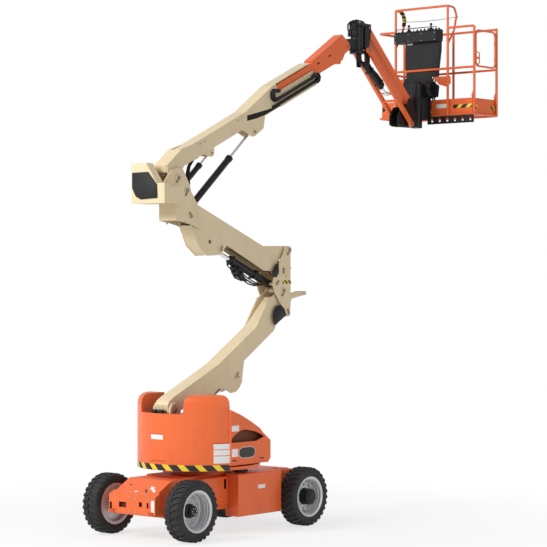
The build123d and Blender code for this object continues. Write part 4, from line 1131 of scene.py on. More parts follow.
@dataclass
class Chassis:
    """Labels and bolts on the chassis, its steering ram and hoses, and the drive motors."""

    end_x: float = -1.296
    box_y: float = 0.600
    panel_y: float = 0.4400
    drive_end_x: float = 1.200
    slope_foot: Corner = (-1.293, 0.500)
    slope_top_z: float = 0.672
    slope_run: float = 0.303

    def build_end_plate(self) -> None:
        """The steer end's blank placard, bolts and slope stripes."""
        placard = block((self.end_x - 0.0035, -0.352, 0.335), (self.end_x + 0.002, -0.302, 0.470), 0.0008)
        finish_piece(placard, "end_placard", WHITE_FILM, "chassis")
        bolts = [hex_head((self.end_x, y, z), (-1, 0, 0), 0.016, 0.007)
                 for y in (-0.270, -0.060, 0.040, 0.250) for z in (0.325, 0.478)]
        finish_piece(join(bolts), "end_plate_bolts", ZINC, "chassis")
        foot_x, foot_z = self.slope_foot
        slope = math.atan2(self.slope_top_z - foot_z, self.slope_run)
        lean = Matrix.Translation((foot_x, 0, foot_z)) @ Matrix.Rotation(-slope, 4, "Y")
        pieces = {
            "slope_arrow": (WHITE_FILM, [(0.10, -0.250), (0.16, -0.170), (0.145, -0.155), (0.215, -0.130),
                                         (0.20, -0.205), (0.185, -0.190), (0.125, -0.270)]),
            "slope_bar": (BLACK_FILM, [(0.030, -0.190), (0.045, -0.205), (0.155, -0.105), (0.140, -0.090)]),
            "slope_dot": (BLACK_FILM, [(0.200, 0.180), (0.225, 0.180), (0.225, 0.205), (0.200, 0.205)]),
            "slope_label": (WHITE_FILM, [(0.075, -0.010), (0.105, -0.010), (0.105, 0.035), (0.075, 0.035)]),
        }
        for name, (finish, outline) in pieces.items():
            mark = slab(outline, -0.002, FILM, Across.Z, 0.0)
            mark.data.transform(lean)
            finish_piece(mark, name, finish, "chassis")

    def build_boxes(self) -> None:
        """Blank labels on the battery boxes, and the service panels' seams and fasteners."""
        label = block((0.215, -self.box_y - FILM, 0.506), (0.345, -self.box_y + 0.001, 0.550), 0.0004)
        finish_piece(join(mirrored([label])), "battery_box_labels", WHITE_FILM, "chassis")
        seams = [block((-0.590, -0.4412, 0.298), (-0.586, -0.4395, 0.660), 0.0004)]
        spots = ((-0.160, 0.341), (-0.157, 0.300), (-0.300, 0.600), (-0.300, 0.340), (-0.560, 0.620))
        seams += side_bolts(spots, self.panel_y, 0.012, 0.005)
        finish_piece(join(mirrored(seams)), "service_panel_fasteners", BLACK, "chassis")

    def build_axle(self) -> None:
        """The steering ram and its hoses, the drive end's bolts and the drive motors."""
        ram = [rod((-0.935, start, 0.330), (-0.935, end, 0.330), radius, edge)
               for start, end, radius, edge in ((-0.220, 0.060, 0.026, 0.004), (0.060, 0.260, 0.012, 0.002))]
        finish_piece(join(ram), "steering_ram", BLACK, "chassis")
        run = [(-0.93, -0.20, 0.355), (-0.90, -0.16, 0.44), (-0.82, -0.24, 0.47), (-0.74, -0.30, 0.40)]
        finish_piece(join(mirrored([pipe(run, 0.008)])), "steering_hoses", HOSE, "chassis")
        bolts = [hex_head((self.drive_end_x, y, z), (1, 0, 0), 0.018, 0.008)
                 for y in (-0.24, -0.08, 0.08, 0.24) for z in (0.42, 0.55)]
        finish_piece(join(bolts), "drive_end_bolts", ZINC, "chassis")
        stages = ((-0.380, -0.225, 0.098, 0.012), (-0.225, -0.120, 0.088, 0.010))
        motors = [rod((AXLE_X, start, AXLE_Z), (AXLE_X, end, AXLE_Z), radius, edge, 40)
                  for start, end, radius, edge in stages]
        finish_piece(join(mirrored(motors)), "drive_motors", BLACK, "chassis")

    def build(self) -> None:
        """Builds everything on the chassis."""
        self.build_end_plate()
        self.build_boxes()
        self.build_axle()
        LOG.info("chassis")


# ---------------------------------------------------------------- pins of the boom linkage


@dataclass(frozen=True)
class PinSpot:
    """Where a pin's end shows, on both sides: its body, its place, and the keeper's angle above +X."""

    name: str
    body: str
    x: float
    z: float
    y: float
    turn: float
    radius: float = 0.026


PIN_SPOTS = [
    PinSpot("foot", "turntable", -0.720, 1.460, 0.147, 250.0),
    PinSpot("knee", "mid_upright", 1.243, 2.822, 0.147, 250.0),
    PinSpot("knee_link", "mid_upright", 1.337, 2.546, 0.147, 105.0, 0.020),
    PinSpot("mid_foot", "mid_upright", 1.349, 3.322, 0.147, 240.0),
    PinSpot("mid_foot_link", "mid_upright", 1.237, 3.049, 0.147, 80.0, 0.020),
    PinSpot("mid_cylinder_base", "mid_upright", 1.110, 2.908, 0.147, 45.0, 0.020),
    PinSpot("boom_foot", "upper_upright", -0.662, 4.142, 0.147, 240.0),
    PinSpot("mid_head", "upper_upright", -0.516, 4.000, 0.147, 250.0),
    PinSpot("boom_cylinder_base", "upper_upright", -0.447, 3.700, 0.147, 120.0, 0.020),
    PinSpot("lower_rod", "lower_boom", 0.400, 1.800, 0.112, 60.0, 0.020),
    PinSpot("mid_rod", "mid_boom", 0.113, 3.314, 0.112, 60.0, 0.020),
    PinSpot("boom_rod", "main_boom", 0.770, 4.751, 0.084, 70.0, 0.020),
    PinSpot("level_rod", "main_boom", 0.020, 4.460, 0.054, 70.0, 0.014),
    PinSpot("jib_foot", "fly_boom", 2.620, 5.950, 0.082, 30.0, 0.018),
    PinSpot("jib_upper", "jib_head", 3.062, 6.234, 0.084, 200.0, 0.018),
    PinSpot("jib_lower", "jib_head", 3.000, 5.930, 0.150, 120.0, 0.018),
    PinSpot("jib_lower_end", "platform_support", 3.930, 5.030, 0.150, 120.0, 0.018),
]


@dataclass
class PinKeepers:
    """A washer on each pin end, and a keeper bar with its spacer and bolt on the larger ones."""

    washer: float = 0.004
    seat: float = 0.002
    least_radius: float = 0.018
    least_y: float = 0.10
    bar_reach: float = 2.1  # from the pin to the bolt, in pin radii
    bar_half: float = 0.010
    bar_end: float = 0.014
    bar_thick: float = 0.004
    stand: float = 0.012  # from the plate to the pin's end

    def keeper(self, spot: PinSpot) -> list[bpy.types.Object]:
        """The bar, the spacer under it and the bolt that holds it.

        Args:
            spot: the pin's end.

        Returns:
            The three pieces, on the near side.
        """
        turn = math.radians(spot.turn)
        reach = spot.radius * self.bar_reach
        bolt = Vector((spot.x, 0.0, spot.z)) + Vector((math.cos(turn), 0.0, math.sin(turn))) * reach
        plate = -spot.y + self.stand
        top, under = plate - self.stand, plate - self.stand + self.bar_thick
        half, end = self.bar_half, reach + self.bar_end
        bar = block((-half, top, -half), (end, under, half), 0.001)
        bar.data.transform(Matrix.Translation((spot.x, 0, spot.z)) @ Matrix.Rotation(-turn, 4, "Y"))
        spacer = rod((bolt.x, plate + self.seat, bolt.z), (bolt.x, under, bolt.z), 0.008)
        return [bar, spacer, hex_head((bolt.x, top, bolt.z), (0, -1, 0), 0.015, 0.006)]

    def build(self) -> None:
        """Builds the keepers of every pin, on both sides."""
        for spot in PIN_SPOTS:
            end = -spot.y
            parts = [rod((spot.x, end + self.seat, spot.z), (spot.x, end - self.washer, spot.z), spot.radius)]
            if spot.radius >= self.least_radius and spot.y > self.least_y:
                parts += self.keeper(spot)
            keepers = join(mirrored(parts))
            finish_piece(keepers, f"pin_keeper_{spot.name}", PIN_BRONZE, spot.body)
        LOG.info("pins")


# ---------------------------------------------------------------- booms


@dataclass(frozen=True)
class Slope:
    """A tilted side-view frame: where it starts and how steeply it rises."""

    x: float
    z: float
    tilt: float

    def lay(self, obj: bpy.types.Object) -> bpy.types.Object:
        """Moves a piece built along +X from the origin onto the slope.

        Args:
            obj: the piece.

        Returns:
            The same piece.
        """
        turn = Matrix.Rotation(-math.radians(self.tilt), 4, "Y")
        obj.data.transform(Matrix.Translation((self.x, 0.0, self.z)) @ turn)
        return obj


MAIN_SLOPE = Slope(-0.662, 4.142, 24.7)
MID_BARREL_SLOPE = Slope(1.110, 2.908, 180.0 - 22.17)
JIB_BARREL_SLOPE = Slope(3.030, 5.763, -34.90)


@dataclass
class Linkage:
    """Covers, stickers, hoses and the counterweight panel between the lower booms."""

    plate_y: float = 0.1352
    guard_thick: float = 0.0030
    rear_x: float = -1.030

    def plates(self, outline: Sequence[Corner], thick: float, name: str, finish: Finish, body: str) -> None:
        """A thin plate on both outer faces of an upright."""
        plate = slab(outline, -self.plate_y - thick, -self.plate_y + 0.001, Across.Y, 0.0008)
        finish_piece(join(mirrored([plate])), name, finish, body)

    def build_mid_upright(self) -> None:
        """The middle upright's striped sticker, guards, rest pad and bolts."""
        self.plates([(1.226, 2.908), (1.392, 2.908), (1.392, 2.950), (1.226, 2.950)], FILM,
                    "mid_upright_stripes", POST_STRIPES, "mid_upright")
        high = [(1.150, 3.165), (1.100, 3.150), (1.030, 3.050), (1.040, 2.994), (1.110, 2.985),
                (1.158, 3.040)]
        self.plates(high, self.guard_thick, "mid_upright_guard", BLACK, "mid_upright")
        low = [(1.300, 2.520), (1.190, 2.460), (1.070, 2.400), (1.042, 2.490), (1.056, 2.575), (1.110, 2.640),
               (1.194, 2.650), (1.262, 2.600)]
        self.plates(low, self.guard_thick, "mid_upright_low_guard", BLACK, "mid_upright")
        pad = block((1.722, -0.088, 2.766), (1.7475, 0.088, 2.812), 0.003)
        finish_piece(pad, "boom_rest_pad", PLASTIC, "mid_upright")
        spots = ((1.385, 2.700), (1.385, 3.100), (1.290, 3.000), (1.200, 2.760))
        bolts = side_bolts(spots, self.plate_y, 0.013, 0.006)
        finish_piece(join(mirrored(bolts)), "mid_upright_bolts", PIN_BRONZE, "mid_upright")

    def build_mid_cylinder(self) -> None:
        """The valve block on the middle lift cylinder, with its lines, clamps and hoses."""
        parts = [block((0.520, -0.046, 0.040), (0.640, 0.046, 0.125), 0.004),
                 block((0.540, -0.030, 0.125), (0.600, 0.030, 0.150), 0.004),
                 rod((0.575, -0.075, 0.090), (0.575, 0.075, 0.090), 0.020),
                 block((0.640, -0.034, 0.043), (0.700, 0.034, 0.090), 0.004)]
        line = ((0.700, 0.080), (0.740, 0.078), (0.770, 0.062), (0.775, 0.048))
        parts += [flat_pipe(line, y, 0.007) for y in (-0.026, 0.026)]
        parts += [block((x, -0.052, -0.052), (x + 0.022, 0.052, 0.056), 0.004) for x in (0.300, 0.735)]
        valve = MID_BARREL_SLOPE.lay(join(parts))
        finish_piece(valve, "mid_lift_valve", BLACK, "mid_lift_barrel")
        hoses = []
        for index, (y, sag) in enumerate(((-0.040, 0.096), (-0.018, 0.112), (0.010, 0.102), (0.036, 0.118))):
            hoses.append(pipe([(0.530, y, 0.085), (0.440, y, sag), (0.300, y * 1.2, sag + 0.006),
                               (0.190, y, sag - 0.016), (0.120, y, 0.062)], 0.0085))
            hoses.append(pipe([(0.690, y, 0.075), (0.560, y * 1.3, 0.136 + 0.004 * index),
                               (0.420, y * 1.3, 0.132)], 0.0075))
        runs = MID_BARREL_SLOPE.lay(join(hoses))
        finish_piece(runs, "mid_lift_hoses", HOSE, "mid_lift_barrel")

    def build_counterweight(self) -> None:
        """The blank black panel on the counterweight's rear and the upper upright's bolts."""
        outline = [(0.246, 4.196), (-0.006, 4.200), (-0.146, 4.052), (-0.152, 3.898), (0.112, 3.886),
                   (0.188, 3.922), (0.246, 4.020)]
        panel = slab(outline, self.rear_x - 0.010, self.rear_x + 0.002, Across.X, 0.003)
        finish_piece(panel, "counterweight_panel", PANEL_BLACK, "upper_upright")
        inner = grown(outline, (0.040, 4.046), (0.90, 0.90))
        raised = slab(inner, self.rear_x - 0.013, self.rear_x - 0.008, Across.X, 0.002)
        finish_piece(raised, "counterweight_panel_face", PANEL_BLACK, "upper_upright")
        spots = ((-0.822, 4.030), (-0.880, 3.880), (-0.700, 3.870), (-0.560, 3.620))
        bolts = side_bolts(spots, self.plate_y, 0.020, 0.008)
        finish_piece(join(mirrored(bolts)), "upper_upright_bolts", PIN_BRONZE, "upper_upright")

    def build_foot_hoses(self) -> None:
        """The hose bundle that bends from the upper upright into the main boom's foot."""
        hoses = []
        for index, y in enumerate((-0.094, -0.078, -0.062, 0.066, 0.088)):
            hoses.append(pipe([(-0.290, 0.85 * y, 4.400), (-0.340 - 0.006 * index, 0.9 * y, 4.370),
                               (-0.420, y, 4.285), (-0.440 - 0.006 * index, y, 4.180), (-0.425, y, 4.080),
                               (-0.470, y, 3.980)], 0.0095))
        bundle = join(hoses)
        finish_piece(bundle, "boom_foot_hoses", HOSE, None)
        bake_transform(bundle)

    def build_rear_cover(self) -> None:
        """The plate that closes the mid boom's rear underside."""
        edge = [(-0.396, 3.596), (-0.364, 3.534), (-0.275, 3.362), (-0.115, 3.250), (-0.010, 3.254)]
        inner = [(-0.386, 3.600), (-0.356, 3.538), (-0.268, 3.369), (-0.113, 3.258), (-0.010, 3.262)]
        cover = slab(edge + inner[::-1], -0.0848, 0.0848, Across.Y, 0.0)
        finish_piece(cover, "mid_boom_rear_cover", CREAM, "mid_boom")

    def build(self) -> None:
        """Builds everything between the lower booms."""
        self.build_rear_cover()
        self.build_mid_upright()
        self.build_mid_cylinder()
        self.build_counterweight()
        self.build_foot_hoses()
        LOG.info("linkage")


@dataclass
class MainBoom:
    """The main boom's slot, cable carrier links and hose loops, and the fly section's slots; the slots are
    dark plates of painted shade.
    """

    side_y: float = 0.095
    fly_y: float = 0.0700
    carrier_y: float = 0.1436
    link_step: float = 0.0355
    low_run: float = 0.1175
    high_run: float = 0.1785
    bend: Corner = (2.885, 0.148)
    bend_radius: float = 0.0305

    def build_links(self) -> None:
        """Side plates of the cable carrier's links along both runs and round the bend."""
        outline = [(-0.017, -0.0135), (0.017, -0.0135), (0.020, 0.0), (0.017, 0.0135), (-0.017, 0.0135),
                   (-0.020, 0.0)]
        face = -self.carrier_y
        link = join([slab(outline, face - 0.003, face + 0.004, Across.Y, 0.0012),
                     rod((0.0, face - 0.005, 0.0), (0.0, face + 0.001, 0.0), 0.005, 0.001, 12)])
        spots = [(1.982 + self.link_step * k, self.low_run, 0.0) for k in range(26)]
        spots += [(2.082 + self.link_step * k, self.high_run, 0.0) for k in range(23)]
        bend_a, bend_b = self.bend
        spots += [(bend_a + self.bend_radius * math.sin(t), bend_b - self.bend_radius * math.cos(t), t)
                  for t in (0.55, math.pi / 2, math.pi - 0.55)]
        links = [copy_of(link, Matrix.Translation((a, 0.0, b)) @ Matrix.Rotation(-turn, 4, "Y"))
                 for a, b, turn in spots]
        bpy.data.objects.remove(link)
        chain = MAIN_SLOPE.lay(join(links))
        finish_piece(chain, "cable_carrier_links", PLASTIC, "main_boom")

    def build_hoses(self) -> None:
        """Curled hoses at the carrier's rear end and the hose behind its front bend."""
        curls = []
        sizes = ((0.074, -0.104), (0.066, -0.118), (0.070, -0.132), (0.058, -0.146), (0.044, -0.125))
        for index, (radius, y) in enumerate(sizes):
            middle_a, middle_b = 2.062 + 0.003 * index, 0.236
            run = [(2.125, y, 0.176)]
            for step in range(9):
                turn = math.radians(-70 - 34 * step)
                run.append((middle_a + radius * math.cos(turn), y, middle_b + radius * math.sin(turn)))
            run.append((2.145, y, 0.262 + 0.006 * index))
            curls.append(pipe(run, 0.0095))
        curled = MAIN_SLOPE.lay(join(curls))
        finish_piece(curled, "carrier_hose_curls", HOSE, "main_boom")
        run = ((2.840, 0.196), (2.900, 0.212), (2.955, 0.190), (2.962, 0.140), (2.930, 0.100), (2.880, 0.090))
        front = [flat_pipe(run, y, 0.009) for y in (-0.104, -0.120, -0.136)]
        finish_piece(MAIN_SLOPE.lay(join(front)), "carrier_front_hoses", HOSE, "main_boom")

    def build_body(self) -> None:
        """The tapered slot in the tube's side, its bolts and the fly section's slots, the slots as dark
        plates of painted shade.
        """
        outline = [(1.484, 0.196), (1.458, 0.136), (1.640, 0.098), (1.807, 0.080), (2.120, 0.076),
                   (2.120, 0.092), (1.980, 0.104), (1.753, 0.145)]
        # Painted shade: a dark plate where the slot's opening shows.
        slot = slab(outline, -self.side_y - FILM, -self.side_y + 0.002, Across.Y, 0.0)
        slots = MAIN_SLOPE.lay(join(mirrored([slot])))
        finish_piece(slots, "main_boom_slot", OPENING_SHADE, "main_boom")
        spots = ((0.560, 0.200), (0.640, 0.200), (1.300, 0.205), (1.380, 0.205))
        bolts = MAIN_SLOPE.lay(join(mirrored(side_bolts(spots, self.side_y, 0.014, 0.006))))
        finish_piece(bolts, "main_boom_bolts", PIN_BRONZE, "main_boom")
        low, high = -self.fly_y - FILM, -self.fly_y + 0.001
        # Painted shade: dark oval plates where the fly section's slots show.
        ovals = [slab(oval(middle, (0.030, 0.010), 20), low, high, Across.Y, 0.0)
                 for middle in ((3.336, 0.2900), (3.077, 0.2810))]
        openings = MAIN_SLOPE.lay(join(mirrored(ovals)))
        finish_piece(openings, "fly_slots", OPENING_SHADE, "fly_boom")

    def build(self) -> None:
        """Builds everything on the main boom and fly section."""
        self.build_links()
        self.build_hoses()
        self.build_body()
        LOG.info("main boom")


@dataclass
class Jib:
    """Hoses and fittings round the jib's rotator, along its cylinder and at the platform's column."""

    rotator_x: float = 2.902
    rotator_top: float = 6.2780
    bolt_circle: float = 0.075
    bolts: int = 8
    loops: tuple[Corner, ...] = ((-0.050, 6.306), (-0.018, 6.316), (0.020, 6.312), (0.052, 6.304))

    def build_rotator(self) -> None:
        """The rotator's hose loops, the fittings they leave, its bolts and its back plate."""
        hoses = []
        for index, (y, high) in enumerate(self.loops):
            end = high - 0.040 - 0.003 * index
            hoses.append(pipe([(2.780, y, 6.180), (2.782, y * 1.1, high - 0.05), (2.850, y * 1.2, high),
                               (2.950, y * 1.1, high - 0.004), (3.030, y, end)], 0.010))
        finish_piece(join(hoses), "rotator_hoses", HOSE, "jib_base")
        fittings = [rod((2.800, y, 6.100), (2.800, y, 6.190), 0.016) for y, _ in self.loops]
        finish_piece(join(fittings), "rotator_fittings", BLACK, "jib_base")
        heads = []
        for k in range(self.bolts):
            turn = TURN * k / self.bolts + 0.4
            spot = (self.rotator_x + self.bolt_circle * math.cos(turn), self.bolt_circle * math.sin(turn),
                    self.rotator_top)
            heads.append(hex_head(spot, (0, 0, 1), 0.016, 0.008))
        finish_piece(join(heads), "rotator_bolts", ZINC, "jib_head")
        back = block((2.990, -0.058, 5.940), (3.004, 0.058, 6.180), 0.003)
        finish_piece(back, "rotator_back_plate", BLACK, "jib_head")

    def build_hoses(self) -> None:
        """The hoses and clips on the jib's cylinder, and the hoses at the platform's column."""
        lines = []
        for index, y in enumerate((-0.036, -0.012, 0.012, 0.036)):
            rise = 0.044 + 0.003 * index
            lines.append(pipe([(0.040, y, rise + 0.02), (0.140, y, rise), (0.300, y * 1.1, rise + 0.012),
                               (0.440, y, rise + 0.004), (0.490, y * 0.8, 0.034)], 0.008))
        clips = [block((a, -0.046, -0.037), (a + 0.020, 0.046, 0.066), 0.004) for a in (0.150, 0.400)]
        laid = JIB_BARREL_SLOPE.lay(join(lines)), JIB_BARREL_SLOPE.lay(join(clips))
        finish_piece(laid[0], "jib_hoses", HOSE, "jib_lift_barrel")
        finish_piece(laid[1], "jib_hose_clips", BLACK, "jib_lift_barrel")
        column = [pipe([(4.130, y, 5.215), (4.096, y * 1.15, 5.300), (4.120, y * 1.2, 5.372),
                        (4.175, y * 0.7, 5.350)], 0.009) for y in (-0.072, -0.092)]
        finish_piece(join(mirrored(column)), "column_hoses", HOSE, "platform_support")

    def build(self) -> None:
        """Builds everything on the jib."""
        self.build_rotator()
        self.build_hoses()
        LOG.info("jib")


# ---------------------------------------------------------------- platform


@dataclass
class Platform:
    """The control console, the marks on the boards and bow, the lanyard eyes, floor tread and gate latch."""

    rear_face: float = 4.448
    near_face: float = 0.752
    floor_top: float = 5.196
    console_corner: Corner = (4.384, 6.322)
    console_rise: float = 0.015
    console_run: float = 0.136
    latch_y: float = -0.776
    bow_y: float = 0.502
    wire_x: float = 4.635
    wire_clamps: Corner = (0.502, -0.364)
    eye_z: float = 5.420
    eye_posts: tuple[Corner, ...] = ((4.464, -0.770), (4.996, -0.770), (4.996, 0.770), (5.030, -0.040))
    gusset_posts: Corner = (4.464, 4.996)
    tread_rows: int = 14
    tread_columns: int = 38

    def laid(self, piece: bpy.types.Object) -> bpy.types.Object:
        """Moves a piece built along +X from the origin onto the console's sloping top.

        Args:
            piece: the piece.

        Returns:
            The same piece.
        """
        corner_x, corner_z = self.console_corner
        tilt = math.atan2(self.console_rise, self.console_run)
        piece.data.transform(Matrix.Translation((corner_x, 0.0, corner_z)) @ Matrix.Rotation(-tilt, 4, "Y"))
        return piece

    def build_console(self) -> None:
        """The console's panel with its switches, buttons and joysticks, its guard, screws and hoses."""
        plate = self.laid(block((0.008, -0.204, -0.002), (0.132, 0.474, 0.004), 0.002))
        finish_piece(plate, "console_panel", PANEL_BLACK, "platform")
        parts, caps = [], []
        for y in (-0.180, -0.130, 0.020, 0.080, 0.140, 0.200, 0.400, 0.450):
            parts.append(rod((0.045, y, 0.003), (0.045, y, 0.010), 0.011))
            parts.append(rod((0.045, y, 0.008), (0.052, y, 0.034), 0.0035, 0.001, 12))
        for y in (-0.180, -0.130, 0.060, 0.120, 0.180, 0.430):
            parts.append(rod((0.105, y, 0.003), (0.105, y, 0.022), 0.014))
            caps.append(rod((0.105, y, 0.022), (0.105, y, 0.027), 0.010))
        for y in (-0.070, 0.300):
            parts.append(rod((0.078, y, 0.002), (0.078, y, 0.020), 0.034, 0.006, 32))
            parts.append(rod((0.078, y, 0.015), (0.078, y, 0.038), 0.020, 0.008))
            parts.append(rod((0.078, y, 0.030), (0.081, y, 0.080), 0.008))
            parts.append(rod((0.081, y, 0.062), (0.083, y, 0.096), 0.017, 0.008))
        finish_piece(self.laid(join(parts)), "console_controls", PLASTIC, "platform")
        finish_piece(self.laid(join(caps)), "console_buttons", SILVER, "platform")
        stop = [rod((0.100, -0.010, 0.003), (0.100, -0.010, 0.020), 0.014),
                rod((0.100, -0.010, 0.018), (0.100, -0.010, 0.030), 0.021, 0.005)]
        finish_piece(self.laid(join(stop)), "console_stop_button", RED, "platform")
        bar = ((-0.198, 0.002), (-0.198, 0.044), (0.030, 0.044), (0.250, 0.044), (0.466, 0.044),
               (0.466, 0.002))
        guard = pipe([(0.020, y, z) for y, z in bar], 0.006, smooth=False)
        finish_piece(self.laid(guard), "console_guard", BLACK, "platform")
        screws = [hex_head((4.3660, y, z), (-1, 0, 0), 0.010, 0.004)
                  for y in (-0.190, 0.030, 0.245, 0.460) for z in (6.190, 6.285)]
        finish_piece(join(screws), "console_screws", SILVER, "platform")
        hoses = [pipe([(4.500, y, 5.705), (4.480 - 0.012 * k, y * 1.02, 5.640), (4.462, y, 5.560),
                       (4.470, y, 5.300), (4.500, y * 0.98, 5.180)], 0.010)
                 for k, y in enumerate((-0.120, -0.090, 0.060, 0.110))]
        finish_piece(join(hoses), "console_hoses", HOSE, "platform")

    def build_marks(self) -> None:
        """Stripes and blank labels on the toe boards and console, and the bow's pad with its bands."""
        x = self.rear_face
        for name, finish, low, high in (
            ("toe_stripes_near", TOE_STRIPES, (-0.742, 5.252), (-0.440, 5.300)),
            ("toe_label_near", WHITE_FILM, (-0.350, 5.262), (-0.166, 5.318)),
            ("toe_label_far", WHITE_FILM, (0.486, 5.262), (0.556, 5.328)),
            ("toe_stripes_far", TOE_STRIPES, (0.640, 5.262), (0.742, 5.318)),
        ):
            mark = block((x - FILM, low[0], low[1]), (x + 0.001, high[0], high[1]), 0.0004)
            finish_piece(mark, name, finish, "platform")
        y = -self.near_face
        stripes = [block((start, y - FILM, 5.238), (end, y + 0.001, 5.290), 0.0004)
                   for start, end in ((4.880, 4.990), (4.470, 4.560))]
        finish_piece(join(stripes), "side_toe_stripes", TOE_STRIPES_X, "platform")
        run = ((4.556, 6.624), (4.594, 6.602), (4.618, 6.560), (4.628, 6.520), (4.622, 6.476), (4.612, 6.440))
        pad = flat_pipe(run, self.bow_y, 0.0270)
        finish_piece(pad, "bow_pad", PLASTIC, "platform")
        ends = (((4.596, 6.600), (4.606, 6.585)), ((4.621, 6.549), (4.625, 6.532)),
                ((4.627, 6.506), (4.624, 6.488)))
        bands = [flat_pipe(pair, self.bow_y, 0.0285, smooth=False) for pair in ends]
        finish_piece(join(bands), "bow_pad_bands", YELLOW_FILM, "platform")
        label = block((4.4455, 0.228, 6.150), (4.4480, 0.320, 6.170), 0.0004)
        finish_piece(label, "console_label", WHITE_FILM, "platform")

    def build_rails(self) -> None:
        """The guard wire, its clamps, the gate latch, lanyard eyes and post gussets."""
        first, last = self.wire_clamps
        wire = pipe([(self.wire_x, first, 6.500), (4.640, 0.200, 6.486), (4.640, -0.060, 6.486),
                     (self.wire_x, last, 6.500)], 0.0035)
        finish_piece(wire, "guard_wire", HOSE, "platform")
        clamps = [rod((self.wire_x, y, 6.488), (self.wire_x, y, 6.512), 0.019) for y in self.wire_clamps]
        finish_piece(join(clamps), "guard_wire_clamps", ORANGE, "platform")
        handle = ((4.500, 5.830), (4.560, 5.830), (4.575, 5.850), (4.575, 5.975), (4.560, 5.990),
                  (4.500, 5.990))
        latch = [flat_pipe(handle, self.latch_y, 0.0075, smooth=False),
                 rod((4.575, self.latch_y, 5.905), (4.520, self.latch_y, 5.905), 0.006),
                 block((4.478, -0.800, 5.895), (4.535, -0.784, 5.925), 0.004)]
        finish_piece(join(latch), "gate_latch", ORANGE, "platform_gate")
        eyes = [pipe(self.eye_route(post_x, post_y), 0.0055) for post_x, post_y in self.eye_posts]
        finish_piece(join(eyes), "lanyard_eyes", ZINC, "platform")
        gussets = []
        for post in self.gusset_posts:
            gussets.append(slab([(post - 0.036, 5.380), (post + 0.036, 5.380), (post + 0.017, 5.465),
                                 (post - 0.017, 5.465)], -0.756, -0.751, Across.Y, 0.001))
        finish_piece(join(gussets), "post_gussets", ORANGE, "platform")

    def eye_route(self, post_x: float, post_y: float) -> list[Point]:
        """The loop of a lanyard eye, from inside its post and back.

        Args:
            post_x: the post's place along the machine.
            post_y: its place across.

        Returns:
            Places along the loop.
        """
        on_side = abs(post_y) > 0.5
        way_x, way_y = (0.0, math.copysign(1.0, -post_y)) if on_side else (-1.0, 0.0)
        bow = ((0.012, -0.012), (0.034, -0.026), (0.052, 0.0), (0.034, 0.026), (0.012, 0.012))
        return [(post_x + out * way_x + across * abs(way_y), post_y + out * way_y + across * abs(way_x),
                 self.eye_z) for out, across in bow]

    def build_floor(self) -> None:
        """Raised diamond tread on the platform's floor."""
        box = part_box("platform_floor")
        low, high = Vector(box[0]), Vector(box[1])
        diamond = [(-0.016, 0.0), (0.0, -0.0028), (0.016, 0.0), (0.0, 0.0028)]
        bar = slab(diamond, 0.0, 0.0022, Across.Z, 0.0006)
        copies = []
        for row in range(self.tread_rows):
            for column in range(self.tread_columns):
                x, y = low.x + 0.05 + row * 0.0365, low.y + 0.045 + column * 0.038
                if x > high.x - 0.05 or y > high.y - 0.045:
                    continue
                turn = Matrix.Rotation(math.radians(45 if (row + column) % 2 else -45), 4, "Z")
                copies.append(copy_of(bar, Matrix.Translation((x, y, self.floor_top - 0.0004)) @ turn))
        bpy.data.objects.remove(bar)
        finish_piece(join(copies), "floor_tread", ORANGE, "platform")

    def build(self) -> None:
        """Builds everything on the platform."""
        self.build_console()
        self.build_marks()
        self.build_rails()
        self.build_floor()
        LOG.info("platform")


# ---------------------------------------------------------------- studio


